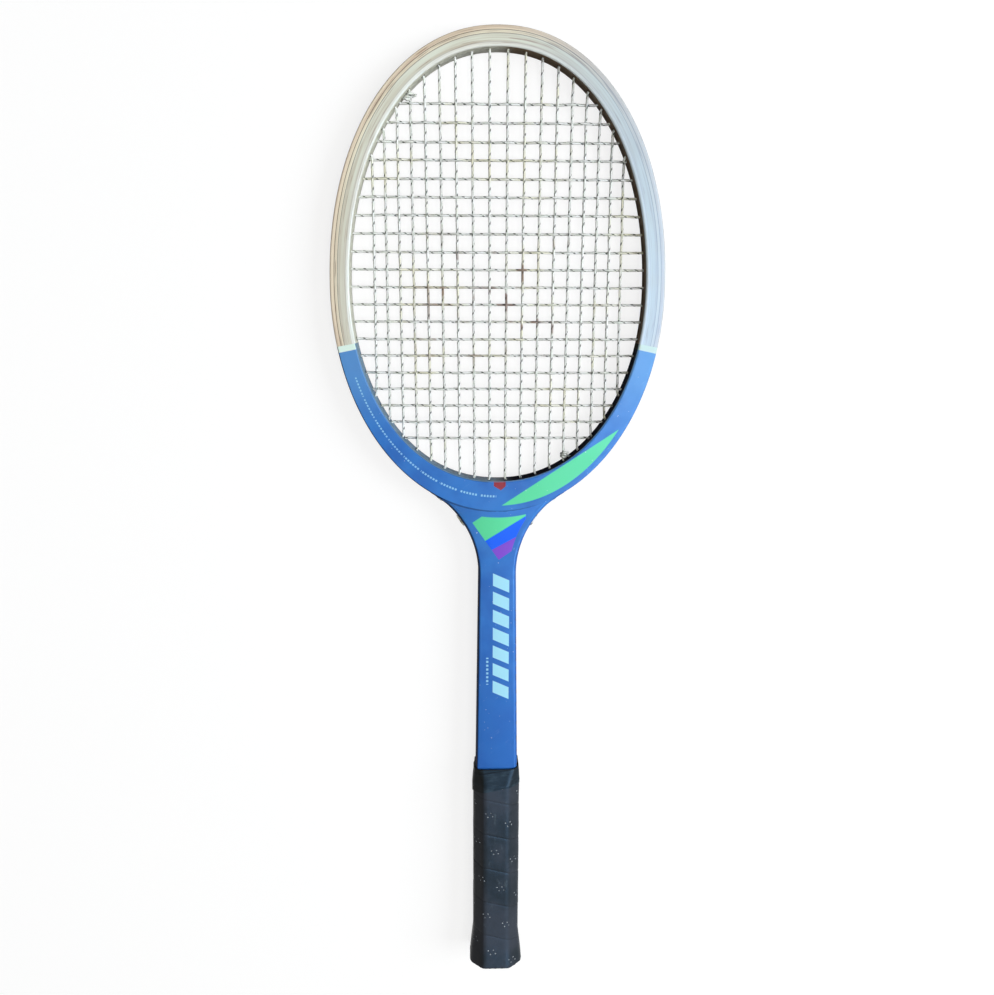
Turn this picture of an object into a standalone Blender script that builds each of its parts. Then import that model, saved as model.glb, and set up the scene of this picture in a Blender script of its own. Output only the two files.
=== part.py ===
"""A wooden tennis racket, lying flat.

The strings lie on either side of z = 0, the handle runs along +Y from the butt face at
y = 0, and x = 0 is the middle. The head is a closed hoop of four bent plies. A crescent
thickens it at the throat, and the shaft is glued to the outside: two side strips, a wedge
between them and two core strips that run down into the handle.
"""

import math

import bmesh
import bpy
import numpy as np

# Head, measured on its outer edge. The exponents say how square each half of the oval is.
LENGTH = 0.686
HEAD_WIDTH = 0.229
WIDEST_Y = 0.519
HEAD_BOTTOM_Y = 0.3632
TOP_EXPONENT = 2.12
BOTTOM_EXPONENT = 2.02
FRAME_THICKNESS = 0.0185
EDGE_CHAMFER = 0.0022
INNER_CHAMFER = 0.0012

# Plies of the hoop, from the outside in, and what the crescent adds at the throat.
OUTER_PLY = 0.0027
SECOND_PLY = 0.0019
CORE_PLY = 0.0050
INNER_PLY = 0.0027
GLUE_LINE = 0.0003
CRESCENT_DEPTH = 0.0084
CRESCENT_START = math.radians(97)
THINNEST_TIP = 0.0009
LEAST_CHAMFER = 0.0002
HOOP_STATIONS = 54
CURVE_SAMPLES = 2001

# Strings and the bores and groove that they run in.
MAINS = 18
CROSSES = 20
STRING_DIAMETER = 0.00175
STRING_GAP = 0.0003
MAIN_SIDE_MARGIN = 0.0165
MAIN_EDGE_SHRINK = 0.17
TIP_SPREAD = 0.12
CROSS_TOP_MARGIN = 0.0340
CROSS_BOTTOM_MARGIN = 0.0299
CROSS_DROP = 0.0014
BORE_CLEARANCE = 0.0003
BORE_STAGGER = 0.0016
BORE_FAN = 0.6
BORE_SIDES = 6
GROOVE_DEPTH = 0.0022
BEND = 0.0013
WALL_CLEARANCE = 0.0014
BED_LEAD = 0.003
THROAT_EXITS = (math.radians(30), math.radians(37), math.radians(50))
LAST_GROOVE_EXIT_X = 0.0475
GROOVE_END_X = 0.0405

# Shaft and throat.
SHAFT_WIDTH = 0.0273
SHOULDER_RADIUS = 0.070
SIDE_PLY = 0.0027
STRIP_CHAMFER_SHARE = 0.8
SHOULDER_STATIONS = 12
SEAM_STATIONS = 6
WEDGE_TIP_Y = 0.262

# Handle: an octagon with 45 degree bevels, its sides flush with the side strips.
HANDLE_WIDTH = 0.0313
HANDLE_THICKNESS = 0.0280
PALLET_TOP_Y = 0.163
PALLET_SLOPE = 0.011
PALLET_LIP = 0.0010
FIT_GAP = 0.0003
CAP_PLATE = 0.0025
CAP_SKIRT = 0.018
FLARE = 0.0030
FLARE_TOP_Y = 0.028

TACK_Y = 0.009
TACK_HEAD_DIAMETER = 0.0030
TACK_HEAD_THICKNESS = 0.0006
TACK_SHANK_DIAMETER = 0.0012
TACK_SHANK_LENGTH = 0.0036
TACK_SIDES = 8

# Grip wrap, a strip wound on from the butt, and the tape over its end.
WRAP_THICKNESS = 0.0015
WRAP_PITCH = 0.0285
WRAP_SEAM = 0.0005
WRAP_SEAM_Y = 0.112
WRAP_BOTTOM_Y = 0.0006
WRAP_TOP_Y = 0.1525
WRAP_COLUMNS = 4
TAPE_BOTTOM_Y = 0.1475
TAPE_TOP_Y = 0.166
TAPE_THICKNESS = 0.0004

# Tie-off knots: on which main, counted from the left, and whether at the tip or the throat.
KNOTS = (("upper_knot", 3, True), ("lower_knot", 13, False))
KNOT_TURNS = 1.6
KNOT_PITCH = 0.0019
KNOT_ROUND = 10

# Finishes: the colour as it looks, from 0 to 255, then roughness and metallic.
PALE_ASH = ((206, 196, 170), 0.35, 0.0)
TAN_BEECH = ((214, 186, 145), 0.35, 0.0)
BLUE_PAINT = ((68, 120, 200), 0.3, 0.0)
SHAFT_PAINT = ((66, 116, 190), 0.3, 0.0)
HANDLE_WOOD = ((196, 160, 112), 0.6, 0.0)
CAP_PLASTIC = ((30, 32, 36), 0.5, 0.0)
TACK_STEEL = ((170, 170, 172), 0.35, 1.0)
GRIP_LEATHER = ((50, 55, 65), 0.6, 0.0)
BLACK_TAPE = ((28, 36, 46), 0.25, 0.0)
STRING_WHITE = ((215, 225, 220), 0.35, 0.0)

STRING_RADIUS = STRING_DIAMETER / 2
STRING_LEVEL = STRING_RADIUS + STRING_GAP / 2
BORE_RADIUS = (STRING_RADIUS + BORE_CLEARANCE) / math.cos(math.pi / BORE_SIDES)
GROOVE_HALF_WIDTH = BORE_STAGGER + STRING_RADIUS + STRING_GAP
HALF_THICKNESS = FRAME_THICKNESS / 2
SECOND_PLY_AT = OUTER_PLY + GLUE_LINE
CRESCENT_AT = SECOND_PLY_AT + SECOND_PLY + GLUE_LINE
HOOP_DEPTH = CRESCENT_AT + CORE_PLY + GLUE_LINE + INNER_PLY
STRIP_INSET = SIDE_PLY + GLUE_LINE
WOOD_BOTTOM_Y = CAP_PLATE + FIT_GAP
PALLET_BASE = HALF_THICKNESS + GLUE_LINE
PALLET_SHOULDER_Y = PALLET_TOP_Y - PALLET_SLOPE
OVERSHOOT = 0.0025


# Curves of the frame


def unit(vector):
    return np.asarray(vector) / np.linalg.norm(vector)


def head_curve():
    """The head's right edge, from the tip to the throat: points, outward normals and hoop depths."""
    angle = np.linspace(0, math.pi, CURVE_SAMPLES)
    top = angle <= math.pi / 2
    exponent = np.where(top, TOP_EXPONENT, BOTTOM_EXPONENT)
    height = np.where(top, LENGTH - WIDEST_Y, WIDEST_Y - HEAD_BOTTOM_Y)
    across = np.abs(np.sin(angle)) ** (2 / exponent)
    along = np.abs(np.cos(angle)) ** (2 / exponent)
    sign = np.sign(np.cos(angle))
    half_width = HEAD_WIDTH / 2
    points = np.stack([half_width * across, WIDEST_Y + sign * height * along], axis=1)
    normals = np.stack(
        [across ** (exponent - 1) / half_width, sign * along ** (exponent - 1) / height], axis=1
    )
    normals /= np.linalg.norm(normals, axis=1)[:, None]
    lean = np.arccos(np.clip(normals[:, 1], -1, 1))
    share = np.clip((lean - CRESCENT_START) / (math.pi - CRESCENT_START), 0, 1)
    added = CRESCENT_DEPTH * share**2 * (3 - 2 * share)
    return points, normals, HOOP_DEPTH + added


HEAD_POINTS, HEAD_NORMALS, HEAD_DEPTHS = head_curve()
HEAD_RUN = np.concatenate([[0], np.cumsum(np.linalg.norm(np.diff(HEAD_POINTS, axis=0), axis=1))])
INNER_POINTS = HEAD_POINTS - HEAD_NORMALS * HEAD_DEPTHS[:, None]


def mirrored(vector, side):
    """The vector on the right (side 1) or mirrored to the left (side -1)."""
    return np.array([side * vector[0], *vector[1:]])


def on_head(run, side=1):
    """Point, outward normal and hoop depth at a distance along the head's edge from the tip."""
    point = np.array([np.interp(run, HEAD_RUN, HEAD_POINTS[:, i]) for i in (0, 1)])
    normal = unit([np.interp(run, HEAD_RUN, HEAD_NORMALS[:, i]) for i in (0, 1)])
    depth = np.interp(run, HEAD_RUN, HEAD_DEPTHS)
    return mirrored(point, side), mirrored(normal, side), depth


def run_at_throat(x):
    """The distance along the head's edge where its lower half comes in to this x."""
    lower = HEAD_POINTS[:, 1] < WIDEST_Y
    return float(np.interp(-x, -HEAD_POINTS[lower, 0], HEAD_RUN[lower]))


def hoop_stations():
    """Stations all round the hoop, from the tip down the right side and back up.

    They are spaced half by distance and half by turn, so they are closer at both ends.
    """
    half = HOOP_STATIONS // 2
    turned = np.arccos(np.clip(HEAD_NORMALS[:, 1], -1, 1)) / math.pi
    measure = (HEAD_RUN / HEAD_RUN[-1] + turned) / 2
    runs = np.interp(np.linspace(0, 1, half + 1), measure, HEAD_RUN)
    right = [on_head(run) for run in runs]
    left = [on_head(run, -1) for run in runs[1:-1]]
    return right + left[::-1]


def run_where_ray_leaves(start, direction):
    """Where a ray from inside the hoop meets the head's outer edge, as a distance along it."""
    across = np.array([direction[1], -direction[0]])
    offset = (HEAD_POINTS - start) @ across
    ahead = (HEAD_POINTS - start) @ direction > 0
    crossings = np.nonzero(ahead[:-1] & (offset[:-1] * offset[1:] <= 0))[0]
    first = crossings[0]
    share = offset[first] / (offset[first] - offset[first + 1])
    return HEAD_RUN[first] + share * (HEAD_RUN[first + 1] - HEAD_RUN[first])


def shoulder_circle():
    """Centre of the right shoulder's fillet, and the angle where it meets the head.

    The circle touches the head's outer edge and the shaft's side, which is taken as upright.
    """
    centres = HEAD_POINTS + HEAD_NORMALS * SHOULDER_RADIUS
    below = HEAD_POINTS[:, 1] < WIDEST_Y
    centre_x = SHAFT_WIDTH / 2 + SHOULDER_RADIUS
    order = np.argsort(centres[below, 0])
    centre_y = np.interp(centre_x, centres[below, 0][order], centres[below, 1][order])
    touch_y = np.interp(centre_x, centres[below, 0][order], HEAD_POINTS[below, 1][order])
    return np.array([centre_x, centre_y]), math.asin((touch_y - centre_y) / SHOULDER_RADIUS)


SHOULDER_CENTRE, SHOULDER_SWEEP = shoulder_circle()


def shoulder(angle, side=1):
    """Point and outward normal on the shoulder, at an angle up from the shaft's side."""
    outward = np.array([math.cos(angle), -math.sin(angle)])
    return mirrored(SHOULDER_CENTRE - SHOULDER_RADIUS * outward, side), mirrored(outward, side)


def shaft_half_width(y):
    """Half the width of the wood at a height, from the handle up to the shoulders."""
    top, bottom = SHOULDER_CENTRE[1], PALLET_TOP_Y
    return float(np.interp(y, [bottom, top], [HANDLE_WIDTH / 2, SHAFT_WIDTH / 2]))


# Meshes


def paint(name, finish):
    """A Principled material with this finish, for one piece."""
    colour, roughness, metallic = finish
    material = bpy.data.materials.new(name)
    material.use_nodes = True
    shader = material.node_tree.nodes["Principled BSDF"]
    linear = [((c / 255 + 0.055) / 1.055) ** 2.4 if c > 10 else c / 255 / 12.92 for c in colour]
    shader.inputs["Base Color"].default_value = (*linear, 1)
    shader.inputs["Roughness"].default_value = roughness
    shader.inputs["Metallic"].default_value = metallic
    material.diffuse_color = (*linear, 1)
    return material


def made(name, mesh, finish):
    """An object of a bmesh, its faces turned outward; without a finish it is a cutter."""
    bmesh.ops.recalc_face_normals(mesh, faces=mesh.faces)
    data = bpy.data.meshes.new(name)
    mesh.to_mesh(data)
    mesh.free()
    data.shade_smooth()
    data.set_sharp_from_angle(angle=math.radians(25))
    piece = bpy.data.objects.new(name, data)
    bpy.context.scene.collection.objects.link(piece)
    if finish is None:
        piece.hide_render = True
        piece.display_type = "WIRE"
    else:
        data.materials.append(paint(name, finish))
    return piece


def add_loft(mesh, sections, closed=False):
    """Joins equal rings of points with quads, as a closed loop or with a cap at each end."""
    rings = [[mesh.verts.new(tuple(point)) for point in section] for section in sections]
    following = rings[1:] + rings[:1] if closed else rings[1:]
    for ring, after in zip(rings, following):
        for i in range(len(ring)):
            j = (i + 1) % len(ring)
            mesh.faces.new((ring[i], ring[j], after[j], after[i]))
    if not closed:
        mesh.faces.new(rings[0])
        mesh.faces.new(rings[-1])


def loft(name, sections, finish, closed=False):
    mesh = bmesh.new()
    add_loft(mesh, sections, closed)
    return made(name, mesh, finish)


def plate(name, outline, finish):
    """A flat piece as thick as the frame, with this outline."""
    levels = (-HALF_THICKNESS, HALF_THICKNESS)
    return loft(name, [[(x, y, z) for x, y in outline] for z in levels], finish)


def ply_section(station, near, far, near_chamfer=0.0, far_chamfer=0.0):
    """A ply's section at a station, from one depth under the head's edge to another."""
    point, normal, _ = station
    half = HALF_THICKNESS
    corners = []
    for depth, inward, chamfer, order in ((near, 1, near_chamfer, 1), (far, -1, far_chamfer, -1)):
        side = [(depth, half - chamfer), (depth + inward * chamfer, half)]
        side = side if chamfer else side[:1]
        low = [(d, -z) for d, z in side][::-1]
        corners += (low + side)[::order]
    return [(*(point - normal * depth), z) for depth, z in corners]


def cut(piece, cutter, operation="DIFFERENCE"):
    boolean = piece.modifiers.new(cutter.name, "BOOLEAN")
    boolean.operation = operation
    boolean.object = cutter


def regular_ring(centre, direction, radius, sides):
    """A ring of points round a centre, square to a direction, with a corner pointing up."""
    direction = unit(direction)
    helper = np.array([0, 1, 0]) if abs(direction[2]) > 0.9 else np.array([0, 0, 1])
    first = unit(helper - direction * (helper @ direction))
    second = np.cross(direction, first)
    turns = [2 * math.pi * i / sides for i in range(sides)]
    return [centre + radius * (math.cos(t) * first + math.sin(t) * second) for t in turns]


def string_tube(name, points):
    """A round string along these points."""
    curve = bpy.data.curves.new(name, "CURVE")
    curve.dimensions = "3D"
    spline = curve.splines.new("POLY")
    spline.points.add(len(points) - 1)
    spline.points.foreach_set("co", [c for point in points for c in (*point, 1)])
    curve.bevel_depth = STRING_RADIUS
    curve.bevel_resolution = 1
    curve.use_fill_caps = True
    curve.materials.append(paint(name, STRING_WHITE))
    bpy.context.scene.collection.objects.link(bpy.data.objects.new(name, curve))


# Strings and bores


class StringEnd:
    """One end of a string: where it bends into its bore, and its exit on the outside."""

    def __init__(self, entry, wall, exit_point, level, lift):
        self.entry = np.array([*entry, level])
        self.wall = wall
        self.direction = unit(np.array([*exit_point, level]) - self.entry)
        self.exit = np.array([*exit_point, level]) + self.direction * lift

    def inside(self):
        """The end's points from the string bed outwards, up to the bend."""
        return [self.entry, self.exit - self.direction * BEND]

    def bend_towards(self, other_exit):
        return self.exit + unit(other_exit - self.exit) * BEND


def hoop_end(entry, wall, direction, level, side):
    """A string's end that lies in the groove round the hoop."""
    point, outward, _ = on_head(run_where_ray_leaves(entry, direction))
    lift = -(GROOVE_DEPTH - STRING_RADIUS - 2 * STRING_GAP) / (direction @ outward)
    return StringEnd(mirrored(entry, side), mirrored(wall, side), mirrored(point, side), level, lift)


def fanned(wall, heading):
    """The direction of a bore that leans from the string towards the wall's normal."""
    return unit(BORE_FAN * wall + (1 - BORE_FAN) * heading)


def off_wall(point, wall, heading):
    """The point on the string where it bends, clear of the hoop's inner wall."""
    return point - heading * WALL_CLEARANCE / (wall @ heading)


def shoulder_end(entry, wall, angle, side):
    """A main's end that goes through the throat and lies on the shoulder."""
    point, _ = shoulder(angle, side)
    lift = STRING_RADIUS + 2 * STRING_GAP
    return StringEnd(mirrored(entry, side), mirrored(wall, side), point, BORE_STAGGER, lift)


def main_positions():
    """Distances of the right half's mains from the middle; the spacing narrows outwards."""
    half = MAINS // 2
    gaps = np.array([0.5, *(1 - MAIN_EDGE_SHRINK * i / (half - 1) for i in range(1, half))])
    reach = np.cumsum(gaps)
    return reach / reach[-1] * (INNER_POINTS[:, 0].max() - MAIN_SIDE_MARGIN)


def spread_at_tip(x):
    """Where a main ends at the tip: the mains fan out there, except in the middle and at the edge."""
    return x + TIP_SPREAD * x * (1 - x / main_positions()[-1])


def wall_at_main(x, top):
    """Where a main at x meets the hoop's inner wall, and the wall's normal there."""
    half = (INNER_POINTS[:, 1] > WIDEST_Y) == top
    order = np.argsort(INNER_POINTS[half, 0])
    found = [
        np.interp(x, INNER_POINTS[half, 0][order], values[half][order])
        for values in (INNER_POINTS[:, 1], HEAD_NORMALS[:, 0], HEAD_NORMALS[:, 1])
    ]
    return np.array([x, found[0]]), unit(found[1:])


def main_end(index, top):
    """The end of a main, counted from the left, at the tip or at the throat."""
    half = MAINS // 2
    side = 1 if index >= half else -1
    place = index - half if side > 0 else half - 1 - index
    x = main_positions()[place]
    point, wall = wall_at_main(spread_at_tip(x) if top else x, top)
    heading = np.array([0, 1 if top else -1])
    entry = off_wall(point, wall, heading)
    if not top and place < len(THROAT_EXITS):
        return shoulder_end(entry, wall, THROAT_EXITS[place], side)
    direction = fanned(wall, heading)
    if not top and place == len(THROAT_EXITS):
        direction = unit(on_head(run_at_throat(LAST_GROOVE_EXIT_X))[0] - entry)
    return hoop_end(entry, wall, direction, BORE_STAGGER, side)


def cross_heights():
    """Heights of the crosses from the tip; the middle ones lie a little nearer the throat."""
    low = INNER_POINTS[:, 1].min() + CROSS_BOTTOM_MARGIN
    high = INNER_POINTS[:, 1].max() - CROSS_TOP_MARGIN
    return np.linspace(high, low, CROSSES) - CROSS_DROP * np.sin(np.linspace(0, math.pi, CROSSES))


def cross_end(index, side):
    """The end of a cross, counted from the tip, on the right or on the left."""
    y = cross_heights()[index]
    x, *wall = [
        np.interp(-y, -INNER_POINTS[:, 1], values)
        for values in (INNER_POINTS[:, 0], HEAD_NORMALS[:, 0], HEAD_NORMALS[:, 1])
    ]
    wall, heading = unit(wall), np.array([1, 0])
    entry = off_wall(np.array([x, y]), wall, heading)
    return hoop_end(entry, wall, fanned(wall, heading), -BORE_STAGGER, side)


def to_bed(end, axis, level, crossed):
    """The way from a string's end to its first crossing, where it reaches its own level."""
    inward = -np.sign(end.entry[axis] - WIDEST_Y * axis)
    distances = (np.asarray(crossed) - end.entry[axis]) * inward
    way = np.zeros(3)
    way[axis] = inward * distances[distances > BED_LEAD].min()
    way[2] = level - end.entry[2]
    return way


def string_route(runs, axis, level, crossed):
    """The points of one string that goes there and back across the head.

    Each run is a pair of ends. Between the first and the last crossing a run lies at a
    level of its own, and outside the hoop it follows the groove to the next run.
    """
    points = []
    for number, (start, finish) in enumerate(runs):
        bed = [end.entry + to_bed(end, axis, level, crossed) for end in (start, finish)]
        if number == 0:
            points += start.inside()[::-1]
        points += bed + finish.inside()
        if number + 1 < len(runs):
            following = runs[number + 1][0]
            points.append(finish.bend_towards(following.exit))
            points.append(following.bend_towards(finish.exit))
            points += following.inside()[::-1]
    return points


def main_route(ends):
    """Mains from left to right, starting and ending at the throat."""
    runs = [ends[i] if i % 2 == 0 else ends[i][::-1] for i in range(MAINS)]
    return string_route(runs, 1, STRING_LEVEL, cross_heights())


def cross_route(ends):
    """Crosses from the tip to the throat, starting on the left."""
    runs = [ends[i] if i % 2 == 0 else ends[i][::-1] for i in range(CROSSES)]
    mains = main_positions()
    return string_route(runs, 0, -STRING_LEVEL, [*-mains, *mains])


def least_gap(points, skip=3, samples_each=9):
    """The least distance between the surfaces of the string's stretches, nearest neighbours aside."""
    start, finish = np.array(points[:-1]), np.array(points[1:])
    shares = np.linspace(0, 1, samples_each)
    samples = start[:, None] * (1 - shares[:, None]) + finish[:, None] * shares[:, None]
    least = math.inf
    for i in range(len(start) - skip):
        others = samples[i + skip :].reshape(-1, 3)
        apart = np.linalg.norm(samples[i][:, None] - others[None], axis=2)
        least = min(least, apart.min())
    return least - STRING_DIAMETER


def bore_cutter(ends):
    """All string bores, as one cutter of separate prisms."""
    mesh = bmesh.new()
    for end in ends:
        start = end.entry - end.direction * OVERSHOOT
        finish = end.exit + end.direction * OVERSHOOT
        ends_of_bore = (start, finish)
        add_loft(mesh, [regular_ring(p, end.direction, BORE_RADIUS, BORE_SIDES) for p in ends_of_bore])
    return made("string_bores", mesh, None)


def knot(name, end):
    """A tie-off: a turn of string round a main, lying along the hoop's inner wall."""
    way = to_bed(end, 1, STRING_LEVEL, cross_heights())
    slope = -end.wall[0] / end.wall[1]
    radius = STRING_DIAMETER + STRING_GAP
    clear = STRING_RADIUS * math.hypot(1, slope) + STRING_GAP - WALL_CLEARANCE / abs(end.wall[1])
    points = []
    for i in range(int(KNOT_TURNS * KNOT_ROUND) + 1):
        angle = 2 * math.pi * i / KNOT_ROUND
        across, up = radius * math.cos(angle), radius * math.sin(angle)
        share = (clear + KNOT_PITCH * i / KNOT_ROUND) / abs(way[1])
        points.append(end.entry + way * share + np.array([across, slope * across, up]))
    string_tube(name, points)


# Hoop


def ply_reaches(depth):
    """How deep each ply lies under the head's edge, near and far, where the hoop is this deep."""
    inner = depth - INNER_PLY
    core = inner - GLUE_LINE - CORE_PLY
    return {
        "outer_ply": (0, OUTER_PLY),
        "second_ply": (SECOND_PLY_AT, SECOND_PLY_AT + SECOND_PLY),
        "throat_crescent": (CRESCENT_AT, core - GLUE_LINE),
        "core_ply": (core, core + CORE_PLY),
        "inner_ply": (inner, depth),
    }


def outer_chamfer(station):
    """The chamfer of the hoop's outer edge, which closes where the shaft covers the hoop."""
    point = np.array([abs(station[0][0]), station[0][1]])
    touch, _ = shoulder(SHOULDER_SWEEP)
    if point[0] > touch[0] or point[1] > WIDEST_Y:
        return EDGE_CHAMFER
    covered = math.dist(point, SHOULDER_CENTRE) - SHOULDER_RADIUS
    return max(LEAST_CHAMFER, EDGE_CHAMFER * (1 - covered / SIDE_PLY))


def ply(name, finish, near_chamfer=None, far_chamfer=0.0):
    """One closed ply of the hoop. Its near chamfer is a function of the station."""
    sections = []
    for station in hoop_stations():
        near, far = ply_reaches(station[2])[name]
        opening = near_chamfer(station) if near_chamfer else 0.0
        sections.append(ply_section(station, near, far, opening, far_chamfer))
    return loft(name, sections, finish, closed=True)


def crescent():
    """The piece between the second ply and the core that thickens the hoop at the throat."""
    name = "throat_crescent"
    sections = []
    for station in hoop_stations():
        near, far = ply_reaches(station[2])[name]
        if far - near > THINNEST_TIP:
            sections.append(ply_section(station, near, far))
    return loft(name, sections, BLUE_PAINT)


def groove_cutter():
    """A bar along the hoop's outside, from shoulder to shoulder over the tip."""
    runs = np.linspace(0, run_at_throat(GROOVE_END_X), HOOP_STATIONS // 2)
    stations = [on_head(run, -1) for run in runs[:0:-1]] + [on_head(run) for run in runs]
    sections = []
    for point, normal, _ in stations:
        near, far = point + normal * OVERSHOOT, point - normal * GROOVE_DEPTH
        low, high = -GROOVE_HALF_WIDTH, GROOVE_HALF_WIDTH
        sections.append([(*near, low), (*near, high), (*far, high), (*far, low)])
    return loft("string_groove", sections, None)


def hoop():
    """The four plies, the groove round their outside and the crescent at the throat."""
    outer = ply("outer_ply", TAN_BEECH, near_chamfer=outer_chamfer)
    cut(outer, groove_cutter())
    inner = ply("inner_ply", PALE_ASH, far_chamfer=INNER_CHAMFER)
    return [outer, ply("second_ply", TAN_BEECH), ply("core_ply", PALE_ASH), inner, crescent()]


# Shaft, throat and handle


def side_strip(name, side):
    """The strip down one side of the shaft, which thins to a tip along the shoulder."""
    stations = []
    for y in (WOOD_BOTTOM_Y, PALLET_TOP_Y):
        edge, outward = np.array([side * shaft_half_width(y), y]), np.array([side, 0.0])
        stations.append((edge, outward, SIDE_PLY))
    for angle in np.linspace(0, SHOULDER_SWEEP, SHOULDER_STATIONS + 1):
        room = shoulder_room(angle) - GLUE_LINE
        if room > THINNEST_TIP:
            stations.append((*shoulder(angle, side), min(SIDE_PLY, room)))
    sections = []
    for station in stations:
        thickness = station[2]
        chamfer = min(EDGE_CHAMFER, STRIP_CHAMFER_SHARE * thickness)
        sections.append(ply_section(station, 0, thickness, near_chamfer=chamfer))
    return loft(name, sections, BLUE_PAINT)


def shoulder_room(angle):
    """How far the shoulder's surface is from the hoop."""
    point, _ = shoulder(angle)
    return float(np.linalg.norm(HEAD_POINTS - point, axis=1).min())


def wedge_half():
    """The right half of the throat wedge's outline, from its low tip to the seam's middle."""
    outline = [(0.0, WEDGE_TIP_Y)]
    for angle in np.linspace(0, SHOULDER_SWEEP, SHOULDER_STATIONS + 1):
        point, outward = shoulder(angle)
        if shoulder_room(angle) > STRIP_INSET + GLUE_LINE + THINNEST_TIP:
            outline.append(tuple(point - outward * STRIP_INSET))
    last_x = outline[-1][0]
    for run in np.linspace(HEAD_RUN[-1] - last_x, HEAD_RUN[-1], SEAM_STATIONS):
        point, normal, _ = on_head(run)
        below = point + normal * GLUE_LINE
        if below[0] < last_x - THINNEST_TIP:
            outline.append(tuple(below))
    return outline


def wedge():
    half = wedge_half()
    mirror = [(-x, y) for x, y in half[1:-1]][::-1]
    return plate("throat_wedge", half + mirror, BLUE_PAINT)


def core_strip(name, side):
    """One of the two strips in the middle of the shaft, spliced to the wedge's slanted side."""
    shoulder_y = SHOULDER_CENTRE[1]
    taper = (HANDLE_WIDTH - SHAFT_WIDTH) / 2 / (shoulder_y - PALLET_TOP_Y)
    slant = (SHAFT_WIDTH / 2 - STRIP_INSET) / (shoulder_y - WEDGE_TIP_Y)
    shift = GLUE_LINE * math.hypot(1, slant)
    middle = GLUE_LINE / 2
    tip_y = shoulder_y - (THINNEST_TIP + shift) / (slant + taper)
    splice_y = WEDGE_TIP_Y + (middle - shift) / slant

    def outer(y):
        return shaft_half_width(y) - STRIP_INSET

    outline = [
        (middle, WOOD_BOTTOM_Y),
        (outer(WOOD_BOTTOM_Y), WOOD_BOTTOM_Y),
        (outer(PALLET_TOP_Y), PALLET_TOP_Y),
        (outer(tip_y), tip_y),
        (outer(tip_y) - THINNEST_TIP, tip_y),
        (middle, splice_y),
    ]
    return plate(name, [(side * x, y) for x, y in outline], SHAFT_PAINT)


def octagon(half_width, half_height, bevel, offset):
    """Corners (x, z) of an octagon with 45 degree bevels, moved out by an offset."""
    w, h = half_width + offset, half_height + offset
    b = bevel + offset * (2 - math.sqrt(2))
    quarter = [(w, h - b), (w - b, h)]
    upper = quarter + [(-x, z) for x, z in quarter[::-1]]
    return upper + [(-x, -z) for x, z in upper]


def wood_corners(y, offset):
    """The octagon of the handle or the shaft at a height, moved out by an offset."""
    slope = [PALLET_SHOULDER_Y, PALLET_TOP_Y]
    if y > PALLET_TOP_Y:
        half_height = HALF_THICKNESS
    else:
        half_height = float(np.interp(y, slope, [HANDLE_THICKNESS / 2, PALLET_BASE + PALLET_LIP]))
    side_flat = HALF_THICKNESS - EDGE_CHAMFER
    return octagon(shaft_half_width(y), half_height, half_height - side_flat, offset)


def pallet(name, side):
    """The slab that builds the handle up on its front or back."""
    sections = []
    for y in (WOOD_BOTTOM_Y, PALLET_SHOULDER_Y, PALLET_TOP_Y):
        corner_x, top = wood_corners(y, 0)[1]
        base_x = corner_x + top - PALLET_BASE
        profile = [(base_x, PALLET_BASE), (corner_x, top), (-corner_x, top), (-base_x, PALLET_BASE)]
        sections.append([(x, y, side * z) for x, z in profile])
    return loft(name, sections, HANDLE_WOOD)


def flare(y):
    """How far the butt swells out at a height."""
    return FLARE * max(0.0, 1 - y / FLARE_TOP_Y)


def butt_cap():
    """The flared cap on the butt: an end plate with a skirt round the handle."""
    sections = []
    for y in (0.0, CAP_SKIRT):
        sections.append([(x, y, z) for x, z in wood_corners(y, flare(y))])
    cap = loft("butt_cap", sections, CAP_PLASTIC)
    hollow = []
    for y in (CAP_PLATE, CAP_SKIRT + OVERSHOOT):
        hollow.append([(x, y, z) for x, z in wood_corners(y, FIT_GAP)])
    cut(cap, loft("butt_cap_hollow", hollow, None))
    return cap


def tack_frames():
    """For each tack, its name, the middle of its head's face, and the direction out of the handle."""
    swell = flare(TACK_Y) - FIT_GAP
    sides = (("right", 1, 0), ("left", -1, 0), ("front", 0, 1), ("back", 0, -1))
    for name, x, z in sides:
        reach = HANDLE_WIDTH / 2 if x else HANDLE_THICKNESS / 2
        outward = np.array([x, 0, z], float)
        yield "butt_tack_" + name, np.array([0, TACK_Y, 0]) + outward * (reach + swell), outward


def tack_rings(face, outward, clearance):
    """Rings of a tack, or of the hole that clears it, from its head's face to its point."""
    head = TACK_HEAD_DIAMETER / 2 + clearance
    shank = TACK_SHANK_DIAMETER / 2 + clearance
    under = TACK_HEAD_THICKNESS + clearance
    end = TACK_HEAD_THICKNESS + TACK_SHANK_LENGTH + clearance
    above = OVERSHOOT if clearance else 0
    steps = [(-above, head), (under, head), (under, shank), (end - shank, shank), (end, shank / 3)]
    return [regular_ring(face - outward * depth, outward, r, TACK_SIDES) for depth, r in steps]


def tacks(pieces):
    """The butt cap's tacks, and their holes in the pieces that they hold."""
    mesh = bmesh.new()
    for name, face, outward in tack_frames():
        loft(name, tack_rings(face, outward, 0), TACK_STEEL)
        add_loft(mesh, tack_rings(face, outward, FIT_GAP))
    holes = made("tack_holes", mesh, None)
    for piece in pieces:
        cut(piece, holes)


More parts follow.
